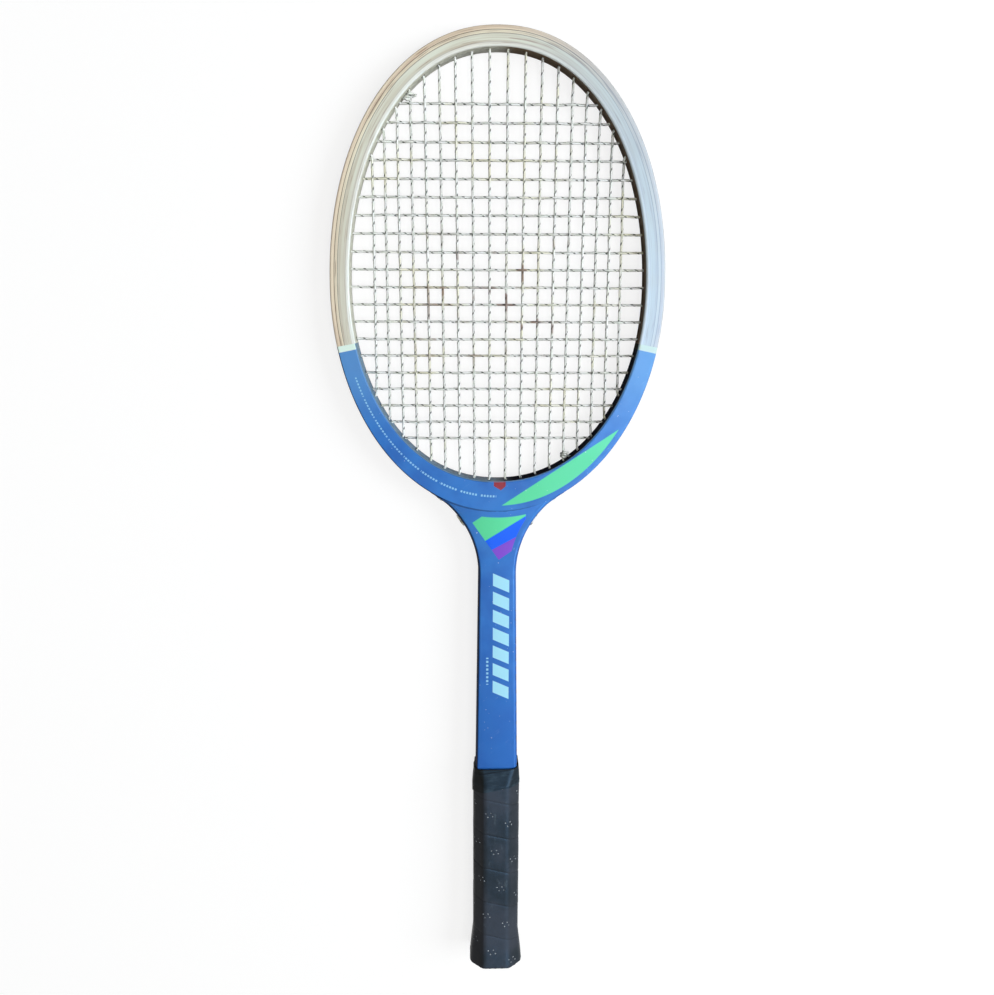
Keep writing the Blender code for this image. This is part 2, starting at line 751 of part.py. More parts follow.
def grip_wrap():
    """A strip wound round the handle in one unbroken helix, trimmed square at both ends.

    It falls towards +X on the front. Its turns lie edge to edge with a narrow seam between.
    """
    corners = wood_corners(PALLET_SHOULDER_Y, 0)
    order = [i % len(corners) for i in range(1, 1 - len(corners), -1)]
    around = [(0.0, corners[1][1]), *[corners[i] for i in order]]
    lengths = [math.dist(a, b) for a, b in zip(around, around[1:] + around[:1])]
    perimeter = sum(lengths)
    low_turn = math.floor((WRAP_SEAM_Y - WRAP_TOP_Y) / WRAP_PITCH) - 1
    high_turn = math.ceil((WRAP_SEAM_Y - WRAP_BOTTOM_Y) / WRAP_PITCH) + 1
    across = np.linspace(WRAP_SEAM / 2, WRAP_PITCH - WRAP_SEAM / 2, WRAP_COLUMNS)
    sections, edges = [], []
    for turn in range(low_turn, high_turn):
        for run, corner in zip(np.cumsum(lengths[:-1]), order):
            heights = WRAP_SEAM_Y - WRAP_PITCH * (turn + run / perimeter) + across
            inside = [wound_corner(corner, y, FIT_GAP + flare(y)) for y in heights]
            outside = [wound_corner(corner, y, FIT_GAP + flare(y) + WRAP_THICKNESS) for y in heights]
            sections.append(inside + outside[::-1])
            edges.append((outside[0], outside[-1]))
    wrap = loft("grip_wrap", sections, GRIP_LEATHER)
    gap = min(math.dist(low[0], high[1]) for low, high in zip(edges, edges[len(corners) :]))
    print(f"grip_wrap: least gap between turns {gap * 1000:.2f} mm")
    cut(wrap, trim_box(WRAP_BOTTOM_Y, WRAP_TOP_Y), "INTERSECT")
    return wrap


def wound_corner(corner, y, offset):
    """One corner of the handle's octagon, straight on past the pallets' slope and past the butt."""
    x, z = wood_corners(min(y, PALLET_SHOULDER_Y), offset)[corner]
    return (x, y, z)


def trim_box(low, high):
    """A box wider than the handle, from one height to another."""
    reach = HANDLE_WIDTH
    outline = [(-reach, -reach), (reach, -reach), (reach, reach), (-reach, reach)]
    return loft("wrap_trim", [[(x, y, z) for x, z in outline] for y in (low, high)], None)


def finishing_tape():
    """The tape over the wrap's upper end, which steps down onto the shaft."""
    over_wrap = 2 * FIT_GAP + WRAP_THICKNESS
    profile = [
        (TAPE_BOTTOM_Y, over_wrap),
        (WRAP_TOP_Y + FIT_GAP, over_wrap),
        (PALLET_TOP_Y + FIT_GAP, FIT_GAP + PALLET_BASE + PALLET_LIP - HALF_THICKNESS),
        (TAPE_TOP_Y, FIT_GAP),
    ]
    sections = []
    for corner in range(8):
        inside = [tape_corner(corner, y, offset) for y, offset in profile]
        outside = [tape_corner(corner, y, offset + TAPE_THICKNESS) for y, offset in profile]
        sections.append(inside + outside[::-1])
    loft("finishing_tape", sections, BLACK_TAPE, closed=True)


def tape_corner(corner, y, offset):
    x, z = wood_corners(y, offset)[corner]
    return (x, y, z)


# The whole racket


def main():
    for old in list(bpy.data.objects):
        bpy.data.objects.remove(old)

    sides = (("left", -1), ("right", 1))
    mains = [(main_end(i, False), main_end(i, True)) for i in range(MAINS)]
    crosses = [(cross_end(i, -1), cross_end(i, 1)) for i in range(CROSSES)]

    strips = [side_strip(f"{where}_side_strip", side) for where, side in sides]
    bores = bore_cutter([end for run in mains + crosses for end in run])
    for piece in [*hoop(), wedge(), *strips]:
        cut(piece, bores)

    cores = [core_strip(f"{where}_core_strip", side) for where, side in sides]
    pallets = [pallet("front_pallet", 1), pallet("back_pallet", -1)]
    tacks([butt_cap(), *strips, *cores, *pallets])
    grip_wrap()
    finishing_tape()

    for name, route in (("main_string", main_route(mains)), ("cross_string", cross_route(crosses))):
        string_tube(name, route)
        print(f"{name}: least gap to itself {least_gap(route) * 1000:.2f} mm")
    for name, index, top in KNOTS:
        knot(name, mains[index][1 if top else 0])

    pieces = list(bpy.data.objects)
    racket = bpy.data.objects.new("racket", None)
    bpy.context.scene.collection.objects.link(racket)
    for piece in pieces:
        piece.parent = racket


main()
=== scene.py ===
# %% [markdown]
# # A wooden tennis racket
# The racket lies on its back. Its strings lie in the plane z = 0, the handle runs along +Y from the butt
# at y = 0, and x = 0 is the middle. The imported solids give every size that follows. Most of them are plain,
# so this script makes each visible piece again as a finer surface in the same place, and then finishes it.

import math

import bpy
import numpy as np
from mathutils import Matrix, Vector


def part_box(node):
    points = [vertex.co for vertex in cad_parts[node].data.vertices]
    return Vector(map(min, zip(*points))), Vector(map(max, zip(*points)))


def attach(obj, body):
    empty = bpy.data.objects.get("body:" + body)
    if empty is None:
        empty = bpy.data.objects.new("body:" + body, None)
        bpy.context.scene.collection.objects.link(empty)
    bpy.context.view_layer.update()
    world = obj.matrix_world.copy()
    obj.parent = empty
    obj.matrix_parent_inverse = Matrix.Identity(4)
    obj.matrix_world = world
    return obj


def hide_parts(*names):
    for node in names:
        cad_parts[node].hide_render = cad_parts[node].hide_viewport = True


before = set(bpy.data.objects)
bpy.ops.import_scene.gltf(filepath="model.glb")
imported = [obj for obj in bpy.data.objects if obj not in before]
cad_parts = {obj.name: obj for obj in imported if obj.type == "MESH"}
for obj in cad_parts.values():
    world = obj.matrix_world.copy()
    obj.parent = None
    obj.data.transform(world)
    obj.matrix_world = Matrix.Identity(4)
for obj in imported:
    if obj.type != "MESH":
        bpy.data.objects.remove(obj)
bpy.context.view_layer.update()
print("loaded", len(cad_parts), "solids")

# %% [markdown]
# ## The camera
# It stands where the photographer stood: close above the lower half of the head, looking almost straight
# down. From so near, the butt is drawn larger than the tip, and the inner walls of the hoop come in sight.

# %% Camera
CAMERA_PLACE = (-0.0215, 0.51264, 0.69014)
CAMERA_TURN = (math.radians(-11.566), math.radians(-1.732), math.radians(0.232))
FOCAL_LENGTH_MM = 35.38

camera = bpy.data.objects.new("camera", bpy.data.cameras.new("camera"))
camera.location = CAMERA_PLACE
camera.rotation_euler = CAMERA_TURN
camera.data.lens = FOCAL_LENGTH_MM
camera.data.clip_start = 0.01
bpy.context.scene.collection.objects.link(camera)
bpy.context.scene.camera = camera
print("camera", round(CAMERA_PLACE[2] * 1000), "mm above the strings")

# %% [markdown]
# ## The sizes everything follows
# The head's outer edge is read from the outer ply's box. The plies, the strings and the shaft have a few
# sizes of their own, in metres, the same as in the solids.

# %% Sizes of the hoop
hoop_low, hoop_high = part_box("outer_ply")
HALF_WIDTH, TIP_Y, HALF_THICKNESS = hoop_high
SEAM_Y = hoop_low.y
WIDEST_Y = 0.519
TOP_EXPONENT = 2.12
BOTTOM_EXPONENT = 2.02
GLUE_LINE = 0.0003
OUTER_PLY = 0.0027
SECOND_PLY = 0.0019
CORE_PLY = 0.0050
INNER_PLY = 0.0027
CRESCENT_DEPTH = 0.0084
CRESCENT_START = math.radians(97)
OUTER_ROUND = 0.0022
HOOP_ROUND = 0.0011
INNER_ROUND = 0.0012
HOOP_DEPTH = OUTER_PLY + SECOND_PLY + CORE_PLY + INNER_PLY + 3 * GLUE_LINE
OUTER_FAR = OUTER_PLY + GLUE_LINE / 2
SECOND_FAR = OUTER_PLY + SECOND_PLY + 1.5 * GLUE_LINE
print("hoop", round(HOOP_DEPTH * 1000, 1), "mm deep and", round(HALF_THICKNESS * 2000, 1), "mm thick")

# %% [markdown]
# ## The head's curve
# An oval that is a little squarer than an ellipse: each half is a superellipse, |x/a|^n + |y/b|^n = 1. Its
# gradient gives the outward normal, so a ply is just the same curve moved inwards along the normals.

# %% Head curve
def smooth_step(share):
    """3 s^2 - 2 s^3, with s held between 0 and 1."""
    share = np.clip(share, 0, 1)
    return share**2 * (3 - 2 * share)


def head_curve(angle):
    """The right edge of the head: |x/a|^n + |y/b|^n = 1, its normals, and the hoop's depth there."""
    top = angle <= math.pi / 2
    exponent = np.where(top, TOP_EXPONENT, BOTTOM_EXPONENT)
    height = np.where(top, TIP_Y - WIDEST_Y, WIDEST_Y - SEAM_Y)
    across = np.abs(np.sin(angle)) ** (2 / exponent)
    along = np.abs(np.cos(angle)) ** (2 / exponent)
    sign = np.sign(np.cos(angle))
    points = np.stack([HALF_WIDTH * across, WIDEST_Y + sign * height * along], 1)
    slopes = [across ** (exponent - 1) / HALF_WIDTH, sign * along ** (exponent - 1) / height]
    normals = np.stack(slopes, 1)
    normals /= np.linalg.norm(normals, axis=1)[:, None]
    lean = np.arccos(np.clip(normals[:, 1], -1, 1))
    share = (lean - CRESCENT_START) / (math.pi - CRESCENT_START)
    return points, normals, HOOP_DEPTH + CRESCENT_DEPTH * smooth_step(share)


HEAD_POINTS, HEAD_NORMALS, HEAD_DEPTHS = head_curve(np.linspace(0, math.pi, 4001))
HEAD_RUN = np.concatenate([[0], np.cumsum(np.linalg.norm(np.diff(HEAD_POINTS, axis=0), axis=1))])
INNER_POINTS = HEAD_POINTS - HEAD_NORMALS * HEAD_DEPTHS[:, None]
HALF_RUN = HEAD_RUN[-1]
LOWER = HEAD_POINTS[:, 1] < WIDEST_Y


def read(values, at, keys):
    """Values of a table at some keys, column by column, by straight lines between its rows."""
    return np.stack([np.interp(at, keys, column) for column in values.T], -1)


def along_head(run):
    """Points, outward normals and depths at signed distances from the tip, positive on the right."""
    side = np.stack([np.where(run < 0, -1.0, 1.0), np.ones_like(run)], -1)
    at = np.abs(run)
    points, normals = read(HEAD_POINTS, at, HEAD_RUN), read(HEAD_NORMALS, at, HEAD_RUN)
    return points * side, normals * side, np.interp(at, HEAD_RUN, HEAD_DEPTHS)


def run_at_y(y):
    """Distance from the tip to the place on the lower half of the head at this y."""
    return float(np.interp(-y, -HEAD_POINTS[LOWER, 1], HEAD_RUN[LOWER]))


def seam_at(x):
    """Height of the hoop's lower edge at an x near the middle."""
    return np.interp(-np.abs(x), -HEAD_POINTS[LOWER, 0], HEAD_POINTS[LOWER, 1])


print("head", round(2 * HALF_RUN * 1000), "mm round its edge")

# %% [markdown]
# ## From a grid of points to a mesh
# Every new surface here is a grid: rows along the piece, columns round its section. One helper turns such a
# grid into a closed mesh. It welds points that fall together, which closes ends and poles, turns the faces
# outward by the sign of the volume, and keeps two numbers for each corner as the UV map called place.

# %% Grid to mesh
SHARP_ANGLE = math.radians(32)
WELD_STEP = 1e-7


def grid_mesh(name, points, place, wrap_rows=False, values=None):
    """A closed mesh from points (rows, columns, 3): each cell is a quad, columns always wrap.

    place is (rows, columns, 2), or one row more where the rows wrap, so that it needs no jump back.
    """
    rows, columns = points.shape[:2]
    cell_rows = rows if wrap_rows else rows - 1
    i, j = np.meshgrid(np.arange(cell_rows), np.arange(columns), indexing="ij")
    down, right = (i + 1) % rows, (j + 1) % columns
    quads = np.stack([i * columns + j, i * columns + right, down * columns + right, down * columns + j], -1)
    quads = quads.reshape(-1, 4)
    corners = np.stack([place[i, j], place[i, right], place[i + 1, right], place[i + 1, j]], 2)
    corners = corners.reshape(-1, 4, 2)
    flat = points.reshape(-1, 3)
    a, b, c, d = (flat[quads[:, k]] for k in range(4))
    volume = np.sum(a * np.cross(b, c)) + np.sum(a * np.cross(c, d))
    if volume < 0:
        quads, corners = quads[:, ::-1], corners[:, ::-1]
    cells = np.round(flat / WELD_STEP).astype(np.int64)
    _, first, index = np.unique(cells, axis=0, return_index=True, return_inverse=True)
    quads = index.reshape(-1)[quads]
    keep = quads != np.roll(quads, 1, axis=1)
    keep &= ((quads[:, 0] != quads[:, 2]) & (quads[:, 1] != quads[:, 3]))[:, None]
    solid = keep.sum(1) >= 3
    quads, keep, corners = quads[solid], keep[solid], corners[solid]
    loops, sizes = quads[keep], keep.sum(1)
    mesh = bpy.data.meshes.new(name)
    mesh.vertices.add(len(first))
    mesh.vertices.foreach_set("co", flat[first].astype(np.float32).ravel())
    mesh.loops.add(len(loops))
    mesh.loops.foreach_set("vertex_index", loops.astype(np.int32))
    mesh.polygons.add(len(sizes))
    mesh.polygons.foreach_set("loop_start", (np.cumsum(sizes) - sizes).astype(np.int32))
    mesh.update(calc_edges=True)
    mesh.uv_layers.new(name="place").data.foreach_set("uv", corners[keep].astype(np.float32).ravel())
    for key, grid in (values or {}).items():
        attribute = mesh.attributes.new(key, "FLOAT", "POINT")
        attribute.data.foreach_set("value", grid.reshape(-1)[first].astype(np.float32))
    mesh.validate()
    mesh.shade_smooth()
    mesh.set_sharp_from_angle(angle=SHARP_ANGLE)
    return mesh


def add_piece(mesh, replaced):
    """A new piece of the racket, named like its mesh, that stands for some of its solids."""
    piece = bpy.data.objects.new(mesh.name, mesh)
    bpy.context.scene.collection.objects.link(piece)
    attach(piece, "root")
    if replaced:
        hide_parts(*replaced)
    print(piece.name, "has", len(mesh.polygons), "faces")
    return piece


def with_ends(grid):
    """The grid with a first and a last row gathered in one point, which closes both ends."""
    ends = [np.broadcast_to(row.mean(0), row.shape)[None] for row in (grid[0], grid[-1])]
    return np.concatenate([ends[0], grid, ends[1]])


def repeat_ends(grid):
    """The grid with its first and last rows doubled, to go with a grid that has ends."""
    return np.concatenate([grid[:1], grid, grid[-1:]])


def ended_mesh(name, grid, place, values=None):
    """A closed mesh from a grid whose first and last rows are each gathered in one point."""
    values = {key: repeat_ends(numbers) for key, numbers in (values or {}).items()}
    return grid_mesh(name, with_ends(grid), repeat_ends(place), False, values)


# %% [markdown]
# ## The shoulders
# Where the shaft runs into the head, each side follows a circle that touches the head's edge and the
# shaft's side. Its centre is found where the head's curve, moved out by the radius, crosses the upright
# line there.

# %% Shoulder circle
SHAFT_HALF_WIDTH = 0.0273 / 2
HANDLE_HALF_WIDTH = 0.0313 / 2
SHOULDER_RADIUS = 0.070
SIDE_PLY = 0.0027
SIDE_INSET = SIDE_PLY + GLUE_LINE / 2
PALLET_TOP_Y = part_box("front_pallet")[1].y
WOOD_BOTTOM_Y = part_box("front_pallet")[0].y

centres = (HEAD_POINTS + HEAD_NORMALS * SHOULDER_RADIUS)[LOWER][::-1]
SHOULDER_X = SHAFT_HALF_WIDTH + SHOULDER_RADIUS
SHOULDER_Y = float(np.interp(SHOULDER_X, centres[:, 0], centres[:, 1]))
TOUCH_Y = float(np.interp(SHOULDER_X, centres[:, 0], HEAD_POINTS[LOWER][::-1, 1]))
SHOULDER_SWEEP = math.asin((TOUCH_Y - SHOULDER_Y) / SHOULDER_RADIUS)
TOUCH_X = SHOULDER_X - SHOULDER_RADIUS * math.cos(SHOULDER_SWEEP)


def shoulder(angle):
    """Points and outward normals on the right shoulder: the circle, by its angle above the shaft."""
    outward = np.stack([np.cos(angle), -np.sin(angle)], -1)
    return np.array([SHOULDER_X, SHOULDER_Y]) - SHOULDER_RADIUS * outward, outward


def shaft_half_width(y):
    """Half the width of the shaft, which widens evenly from the shoulders down to the handle."""
    return np.interp(y, [PALLET_TOP_Y, SHOULDER_Y], [HANDLE_HALF_WIDTH, SHAFT_HALF_WIDTH])


print("shoulders sweep", round(math.degrees(SHOULDER_SWEEP), 1), "degrees")

# %% [markdown]
# ## The hoop's four plies
# The real hoop is bent from thin boards glued face to face. Each ply is a closed ring: the section below is
# carried round the head's curve. The outer ply has a finely rounded edge and the groove that shelters the
# strings, and both die out where the shaft is glued over them. The plies meet without a gap, because in the
# finish each glue line is a thin dark stroke, as it is on the real wood.

# %% Hoop section
HOOP_STATIONS = 480
ROUND_STEPS = 7
FACE_STEPS = 4
GROOVE_DEPTH = 0.0022
GROOVE_HALF_WIDTH = 0.00278
GROOVE_LIP = 0.0004
GROOVE_END_X = 0.0405
GROOVE_FADE = 0.004
THINNEST = 0.00003


def rounded_corner(edge, inward, radius, sign, to_face):
    """A quarter circle of a section, between its side and its face, for every station at once."""
    angle = np.linspace(0, math.pi / 2, ROUND_STEPS)
    angle = angle if to_face else angle[::-1]
    depth = edge[:, None] + inward * radius[:, None] * (1 - np.cos(angle))
    height = sign * (HALF_THICKNESS - radius[:, None] * (1 - np.sin(angle)))
    return np.stack([depth, height], -1)


def face_points(start, finish):
    """Points on a flat face between two corners, so that what is painted there is drawn finely."""
    share = np.linspace(0, 1, FACE_STEPS + 2)[1:-1, None]
    return start[:, None] * (1 - share) + finish[:, None] * share


def groove_points(depth):
    """The groove across the outer side: a flat floor, two walls and a small round at each lip."""
    reach = np.array([1, 0.3, 0, -0.3, -1]) * GROOVE_LIP
    heights = np.concatenate([-GROOVE_HALF_WIDTH - reach, [0], GROOVE_HALF_WIDTH + reach[::-1]])
    shares = np.array([0, 0.12, 0.5, 0.88, 1, 1, 1, 0.88, 0.5, 0.12, 0])
    return np.stack(np.broadcast_arrays(depth[:, None] * shares, heights), -1)


def ply_section(near, far, near_round, far_round, groove=None):
    """A section of depth and height, one row a station, from the low near corner round to the start."""
    low_near = rounded_corner(near, 1, near_round, -1, False)
    high_near = rounded_corner(near, 1, near_round, 1, True)
    high_far = rounded_corner(far, -1, far_round, 1, False)
    low_far = rounded_corner(far, -1, far_round, -1, True)
    front = face_points(high_near[:, -1], high_far[:, 0])
    back = face_points(low_far[:, -1], low_near[:, 0])
    parts = [low_near, high_near, front, high_far, low_far, back]
    if groove is not None:
        parts.insert(1, groove_points(groove))
    return np.concatenate(parts, 1)


def carried(section, run):
    """The section carried along the head's edge: each point lies its depth inside the edge."""
    points, normals, _ = along_head(run)
    flat = points[:, None] - normals[:, None] * section[..., :1]
    return np.concatenate([flat, section[..., 1:]], -1)


def outer_opening(run):
    """How open the hoop's outer edge is: 1 where it is free, 0 where the shaft covers it."""
    points, _, _ = along_head(np.abs(run))
    covered = np.hypot(points[:, 0] - SHOULDER_X, points[:, 1] - SHOULDER_Y) - SHOULDER_RADIUS
    under = (points[:, 0] < TOUCH_X) & (points[:, 1] < WIDEST_Y)
    return np.where(under, np.clip(1 - covered / SIDE_PLY, 0, 1), 1.0)


def ply_mesh(name, run, near, far, near_round=0.0, far_round=0.0, groove=None, closed=True):
    """The mesh of one ply, with its distance from the tip and its depth as the place map."""
    full = np.ones_like(run)
    section = ply_section(near * full, far * full, near_round * full, far_round * full, groove)
    points = carried(section, run)
    place = np.stack([np.broadcast_to(run[:, None], section.shape[:2]), section[..., 0]], -1)
    values = {
        "within": section[..., 0] - (near * full)[:, None],
        "from_inside": along_head(run)[2][:, None] - section[..., 0],
    }
    if closed:
        last = place[:1].copy()
        last[..., 0] = HALF_RUN
        return grid_mesh(name, points, np.concatenate([place, last]), True, values)
    return ended_mesh(name, points, place, values)


# %% Plies and crescent
ring = np.linspace(-HALF_RUN, HALF_RUN, HOOP_STATIONS, endpoint=False)
depths = along_head(ring)[2]
inner_near = depths - INNER_PLY - GLUE_LINE / 2
core_near = inner_near - CORE_PLY - GLUE_LINE
groove_end = float(np.interp(-GROOVE_END_X, -HEAD_POINTS[LOWER, 0], HEAD_RUN[LOWER]))
groove = GROOVE_DEPTH * smooth_step((groove_end - np.abs(ring)) / GROOVE_FADE)
outer_round = HOOP_ROUND * outer_opening(ring)

for ply, slot, near, far, shape in (
    ("outer_ply", "tan_beech", 0.0, OUTER_FAR, {"near_round": outer_round, "groove": groove}),
    ("second_ply", "tan_beech", OUTER_FAR, SECOND_FAR, {}),
    ("core_ply", "pale_ash", core_near, inner_near, {}),
    ("inner_ply", "pale_ash", inner_near, depths, {"far_round": INNER_ROUND}),
):
    add_piece(ply_mesh(ply + "_skin", ring, near, far, **shape), [ply])

lower_arc = np.linspace(0, HALF_RUN, HOOP_STATIONS)
thick = along_head(lower_arc)[2] - HOOP_DEPTH > THINNEST
right_run = np.linspace(lower_arc[thick][0], HALF_RUN, HOOP_STATIONS // 4)
crescent_run = np.concatenate([right_run, -right_run[::-1]])
crescent_far = along_head(crescent_run)[2] - INNER_PLY - CORE_PLY - 1.5 * GLUE_LINE
crescent = ply_mesh("throat_crescent_skin", crescent_run, SECOND_FAR, crescent_far, closed=False)
add_piece(crescent, ["throat_crescent"])

# %% [markdown]
# ## The shaft
# Two thin side strips run up the handle, round the shoulders and out to a feather edge on the hoop. Between
# them a wedge fills the throat, and two core strips are spliced to its V-shaped tip. All five are flat on
# both faces, and only the side strips have rounded edges. Under the paint their joints hardly show.

# %% Side strips
STRIP_ROUND_SHARE = 0.8
WEDGE_TIP_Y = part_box("throat_wedge")[0].y


def depth_to_head(points, direction):
    """How far each point is from the head's edge along its direction: the first crossing of the curve."""
    across = np.stack([direction[:, 1], -direction[:, 0]], -1)
    offset = np.einsum("nmk,nk->nm", HEAD_POINTS[None] - points[:, None], across)
    ahead = np.einsum("nmk,nk->nm", HEAD_POINTS[None] - points[:, None], direction)
    crossing = (offset[:, :-1] * offset[:, 1:] <= 0) & (ahead[:, :-1] > -1e-6)
    distance = np.where(crossing, ahead[:, :-1], np.inf)
    return distance.min(1)


def side_path():
    """The right side of the wood from the butt to the strip's tip, and the strip's thickness."""
    y = np.concatenate([[WOOD_BOTTOM_Y], np.linspace(PALLET_TOP_Y, SHOULDER_Y, 12)[:-1]])
    straight = np.stack([shaft_half_width(y), y], -1)
    angle = np.linspace(0, SHOULDER_SWEEP, 90)
    curve, outward = shoulder(angle)
    points = np.concatenate([straight, curve])
    normals = np.concatenate([np.tile([1.0, 0.0], (len(y), 1)), outward])
    room = depth_to_head(points, -normals)
    room[: len(y)] = np.inf
    return points, normals, np.clip(room, THINNEST, SIDE_INSET)


def strip_mesh(name, side):
    """A side strip: a rounded section carried up the side, thinning with the room beside the hoop."""
    points, normals, thickness = side_path()
    round_by = np.minimum(OUTER_ROUND, STRIP_ROUND_SHARE * thickness)
    section = ply_section(np.zeros_like(thickness), thickness, round_by, np.zeros_like(thickness))
    flat = points[:, None] - normals[:, None] * section[..., :1]
    grid = np.concatenate([flat * [side, 1], section[..., 1:]], -1)
    return grid_mesh(name, with_ends(grid), shaft_place(with_ends(grid)))


def shaft_place(grid):
    """The place map of a shaft piece: a run past the hoop's end, and its distance outside the hoop."""
    seam = HEAD_POINTS[LOWER][::8]
    apart = np.stack([np.abs(grid[..., 0, None]) - seam[:, 0], grid[..., 1, None] - seam[:, 1]])
    return np.stack([HALF_RUN + 0.1 + grid[..., 1], -np.sqrt((apart**2).sum(0)).min(-1)], -1)


for where, side in (("left", -1), ("right", 1)):
    add_piece(strip_mesh(f"{where}_side_strip_skin", side), [f"{where}_side_strip"])

# %% Wedge and core strips
WEDGE_COLUMNS = 41
WEDGE_BEND_FROM = 0.344


def wedge_mesh(name):
    """The throat wedge: rows between its mirrored sides, which bend at the top to follow the hoop.

    A row's height is the side's height plus, growing towards the top, how far the seam lies below it.
    """
    points, normals, thickness = side_path()
    beside = (points[:, 1] >= SHOULDER_Y) & (thickness >= SIDE_INSET)
    shoulder_side = (points - normals * SIDE_INSET)[beside]
    tip = np.linspace(0, 1, 20)[:, None] * (shoulder_side[0] - [0, WEDGE_TIP_Y]) + [0, WEDGE_TIP_Y]
    sides = np.concatenate([tip[:-1], shoulder_side])
    top_x, top_y = sides[-1]
    share = np.linspace(-1, 1, WEDGE_COLUMNS)
    bend = smooth_step((sides[:, 1] - WEDGE_BEND_FROM) / (top_y - WEDGE_BEND_FROM))
    x = sides[:, :1] * share
    y = sides[:, 1:] + bend[:, None] * (seam_at(share * top_x) - top_y)
    front = np.stack([x, y, np.full_like(x, HALF_THICKNESS)], -1)
    grid = np.concatenate([front, front[:, ::-1] * [1, 1, -1]], 1)
    closing = grid[-1:].copy()
    closing[..., 2] = 0
    grid = np.concatenate([grid, closing])
    return grid_mesh(name, grid, shaft_place(grid))


def core_strip_mesh(name, side):
    """A core strip: straight rows between the side strip and the middle, or the wedge's slanted side."""
    y = np.concatenate([[WOOD_BOTTOM_Y, PALLET_TOP_Y], np.linspace(WEDGE_TIP_Y, SHOULDER_Y, 20)])
    outer = shaft_half_width(y) - SIDE_INSET
    slant = (SHAFT_HALF_WIDTH - SIDE_INSET) / (SHOULDER_Y - WEDGE_TIP_Y)
    inner = np.minimum(np.clip((y - WEDGE_TIP_Y) * slant, 0, None), outer)
    x = np.stack([inner, outer, outer, inner], -1)
    z = np.array([1, 1, -1, -1]) * HALF_THICKNESS
    grid = np.stack(np.broadcast_arrays(side * x, y[:, None], z), -1)
    return grid_mesh(name, with_ends(grid), shaft_place(with_ends(grid)))


add_piece(wedge_mesh("throat_wedge_skin"), ["throat_wedge"])
for where, side in (("left", -1), ("right", 1)):
    add_piece(core_strip_mesh(f"{where}_core_strip_skin", side), [f"{where}_core_strip"])

# %% [markdown]
# ## Where the strings run
# One string makes all eighteen mains and another all twenty crosses. Each leaves the bed through a bore,
# turns into the groove and comes back through the next bore. At every crossing they change places, over and
# under, so the bed is one table of crossing points that both strings share. A little play in that table
# keeps the bed from looking drawn with a ruler.

# %% Crossing points
MAINS = 18
CROSSES = 20
STRING_RADIUS = 0.000875
WEAVE_HEIGHT = 0.00091
GROOVE_LEAD = 0.000725
MAIN_SIDE_MARGIN = 0.0165
MAIN_EDGE_SHRINK = 0.17
TIP_SPREAD = 0.12
CROSS_DROP = 0.0014
CROSS_TOP_MARGIN = 0.0340
CROSS_BOTTOM_MARGIN = 0.0299
WALL_CLEARANCE = 0.0014
BORE_STAGGER = 0.0016
BORE_FAN = 0.6
THROAT_EXITS = np.radians([30, 37, 50])
LAST_GROOVE_EXIT_X = 0.0475
PLAY = 0.00015

half_gaps = np.concatenate([[0.5], 1 - MAIN_EDGE_SHRINK * np.arange(1, MAINS // 2) / (MAINS // 2 - 1)])
half_mains = np.cumsum(half_gaps)
half_mains *= (INNER_POINTS[:, 0].max() - MAIN_SIDE_MARGIN) / half_mains[-1]
half_tips = half_mains + TIP_SPREAD * half_mains * (1 - half_mains / half_mains[-1])
throat_x = np.concatenate([-half_mains[::-1], half_mains])
tip_x = np.concatenate([-half_tips[::-1], half_tips])
inner_low, inner_high = INNER_POINTS[:, 1].min(), INNER_POINTS[:, 1].max()
cross_y = np.linspace(inner_high - CROSS_TOP_MARGIN, inner_low + CROSS_BOTTOM_MARGIN, CROSSES)
cross_y = cross_y - CROSS_DROP * np.sin(np.linspace(0, math.pi, CROSSES))
seeded = np.random.default_rng(7)
play = seeded.normal(0, PLAY, (2, MAINS, CROSSES))
row_play = seeded.normal(0, PLAY, CROSSES)
up_share = (cross_y - inner_low) / (inner_high - inner_low)
crossing_x = throat_x[:, None] * (1 - up_share) + tip_x[:, None] * up_share + play[0] * 0.5
crossing_y = cross_y[None, :] + play[1] * 0.4 + row_play
over = np.where((np.arange(MAINS)[:, None] + np.arange(CROSSES)) % 2 == 0, 1.0, -1.0)
print("mains every", round((throat_x[9] - throat_x[8]) * 1000, 1), "mm in the middle; crosses every",
      round((cross_y[0] - cross_y[1]) * 1000, 1), "mm")

# %% Ends of the strings
def unit(vector):
    """The vector at length 1."""
    return vector / np.linalg.norm(vector)


def leave_hoop(entry, direction):
    """Where a straight bore from this entry comes out of the right half of the hoop's edge."""
    distance = depth_to_head(entry[None], direction[None])[0]
    return entry + direction * distance


def string_end(wall_point, wall_normal, heading, level, exit_point=None):
    """A string's bend in front of the wall and its way out: (2, 3) points, for the right half."""
    entry = wall_point - heading * WALL_CLEARANCE / (wall_normal @ heading)
    if exit_point is None:
        direction = unit(BORE_FAN * wall_normal + (1 - BORE_FAN) * heading)
        exit_point = leave_hoop(entry, direction)
        exit_point = exit_point - direction * GROOVE_LEAD
    return np.array([[*entry, level], [*exit_point, level]])


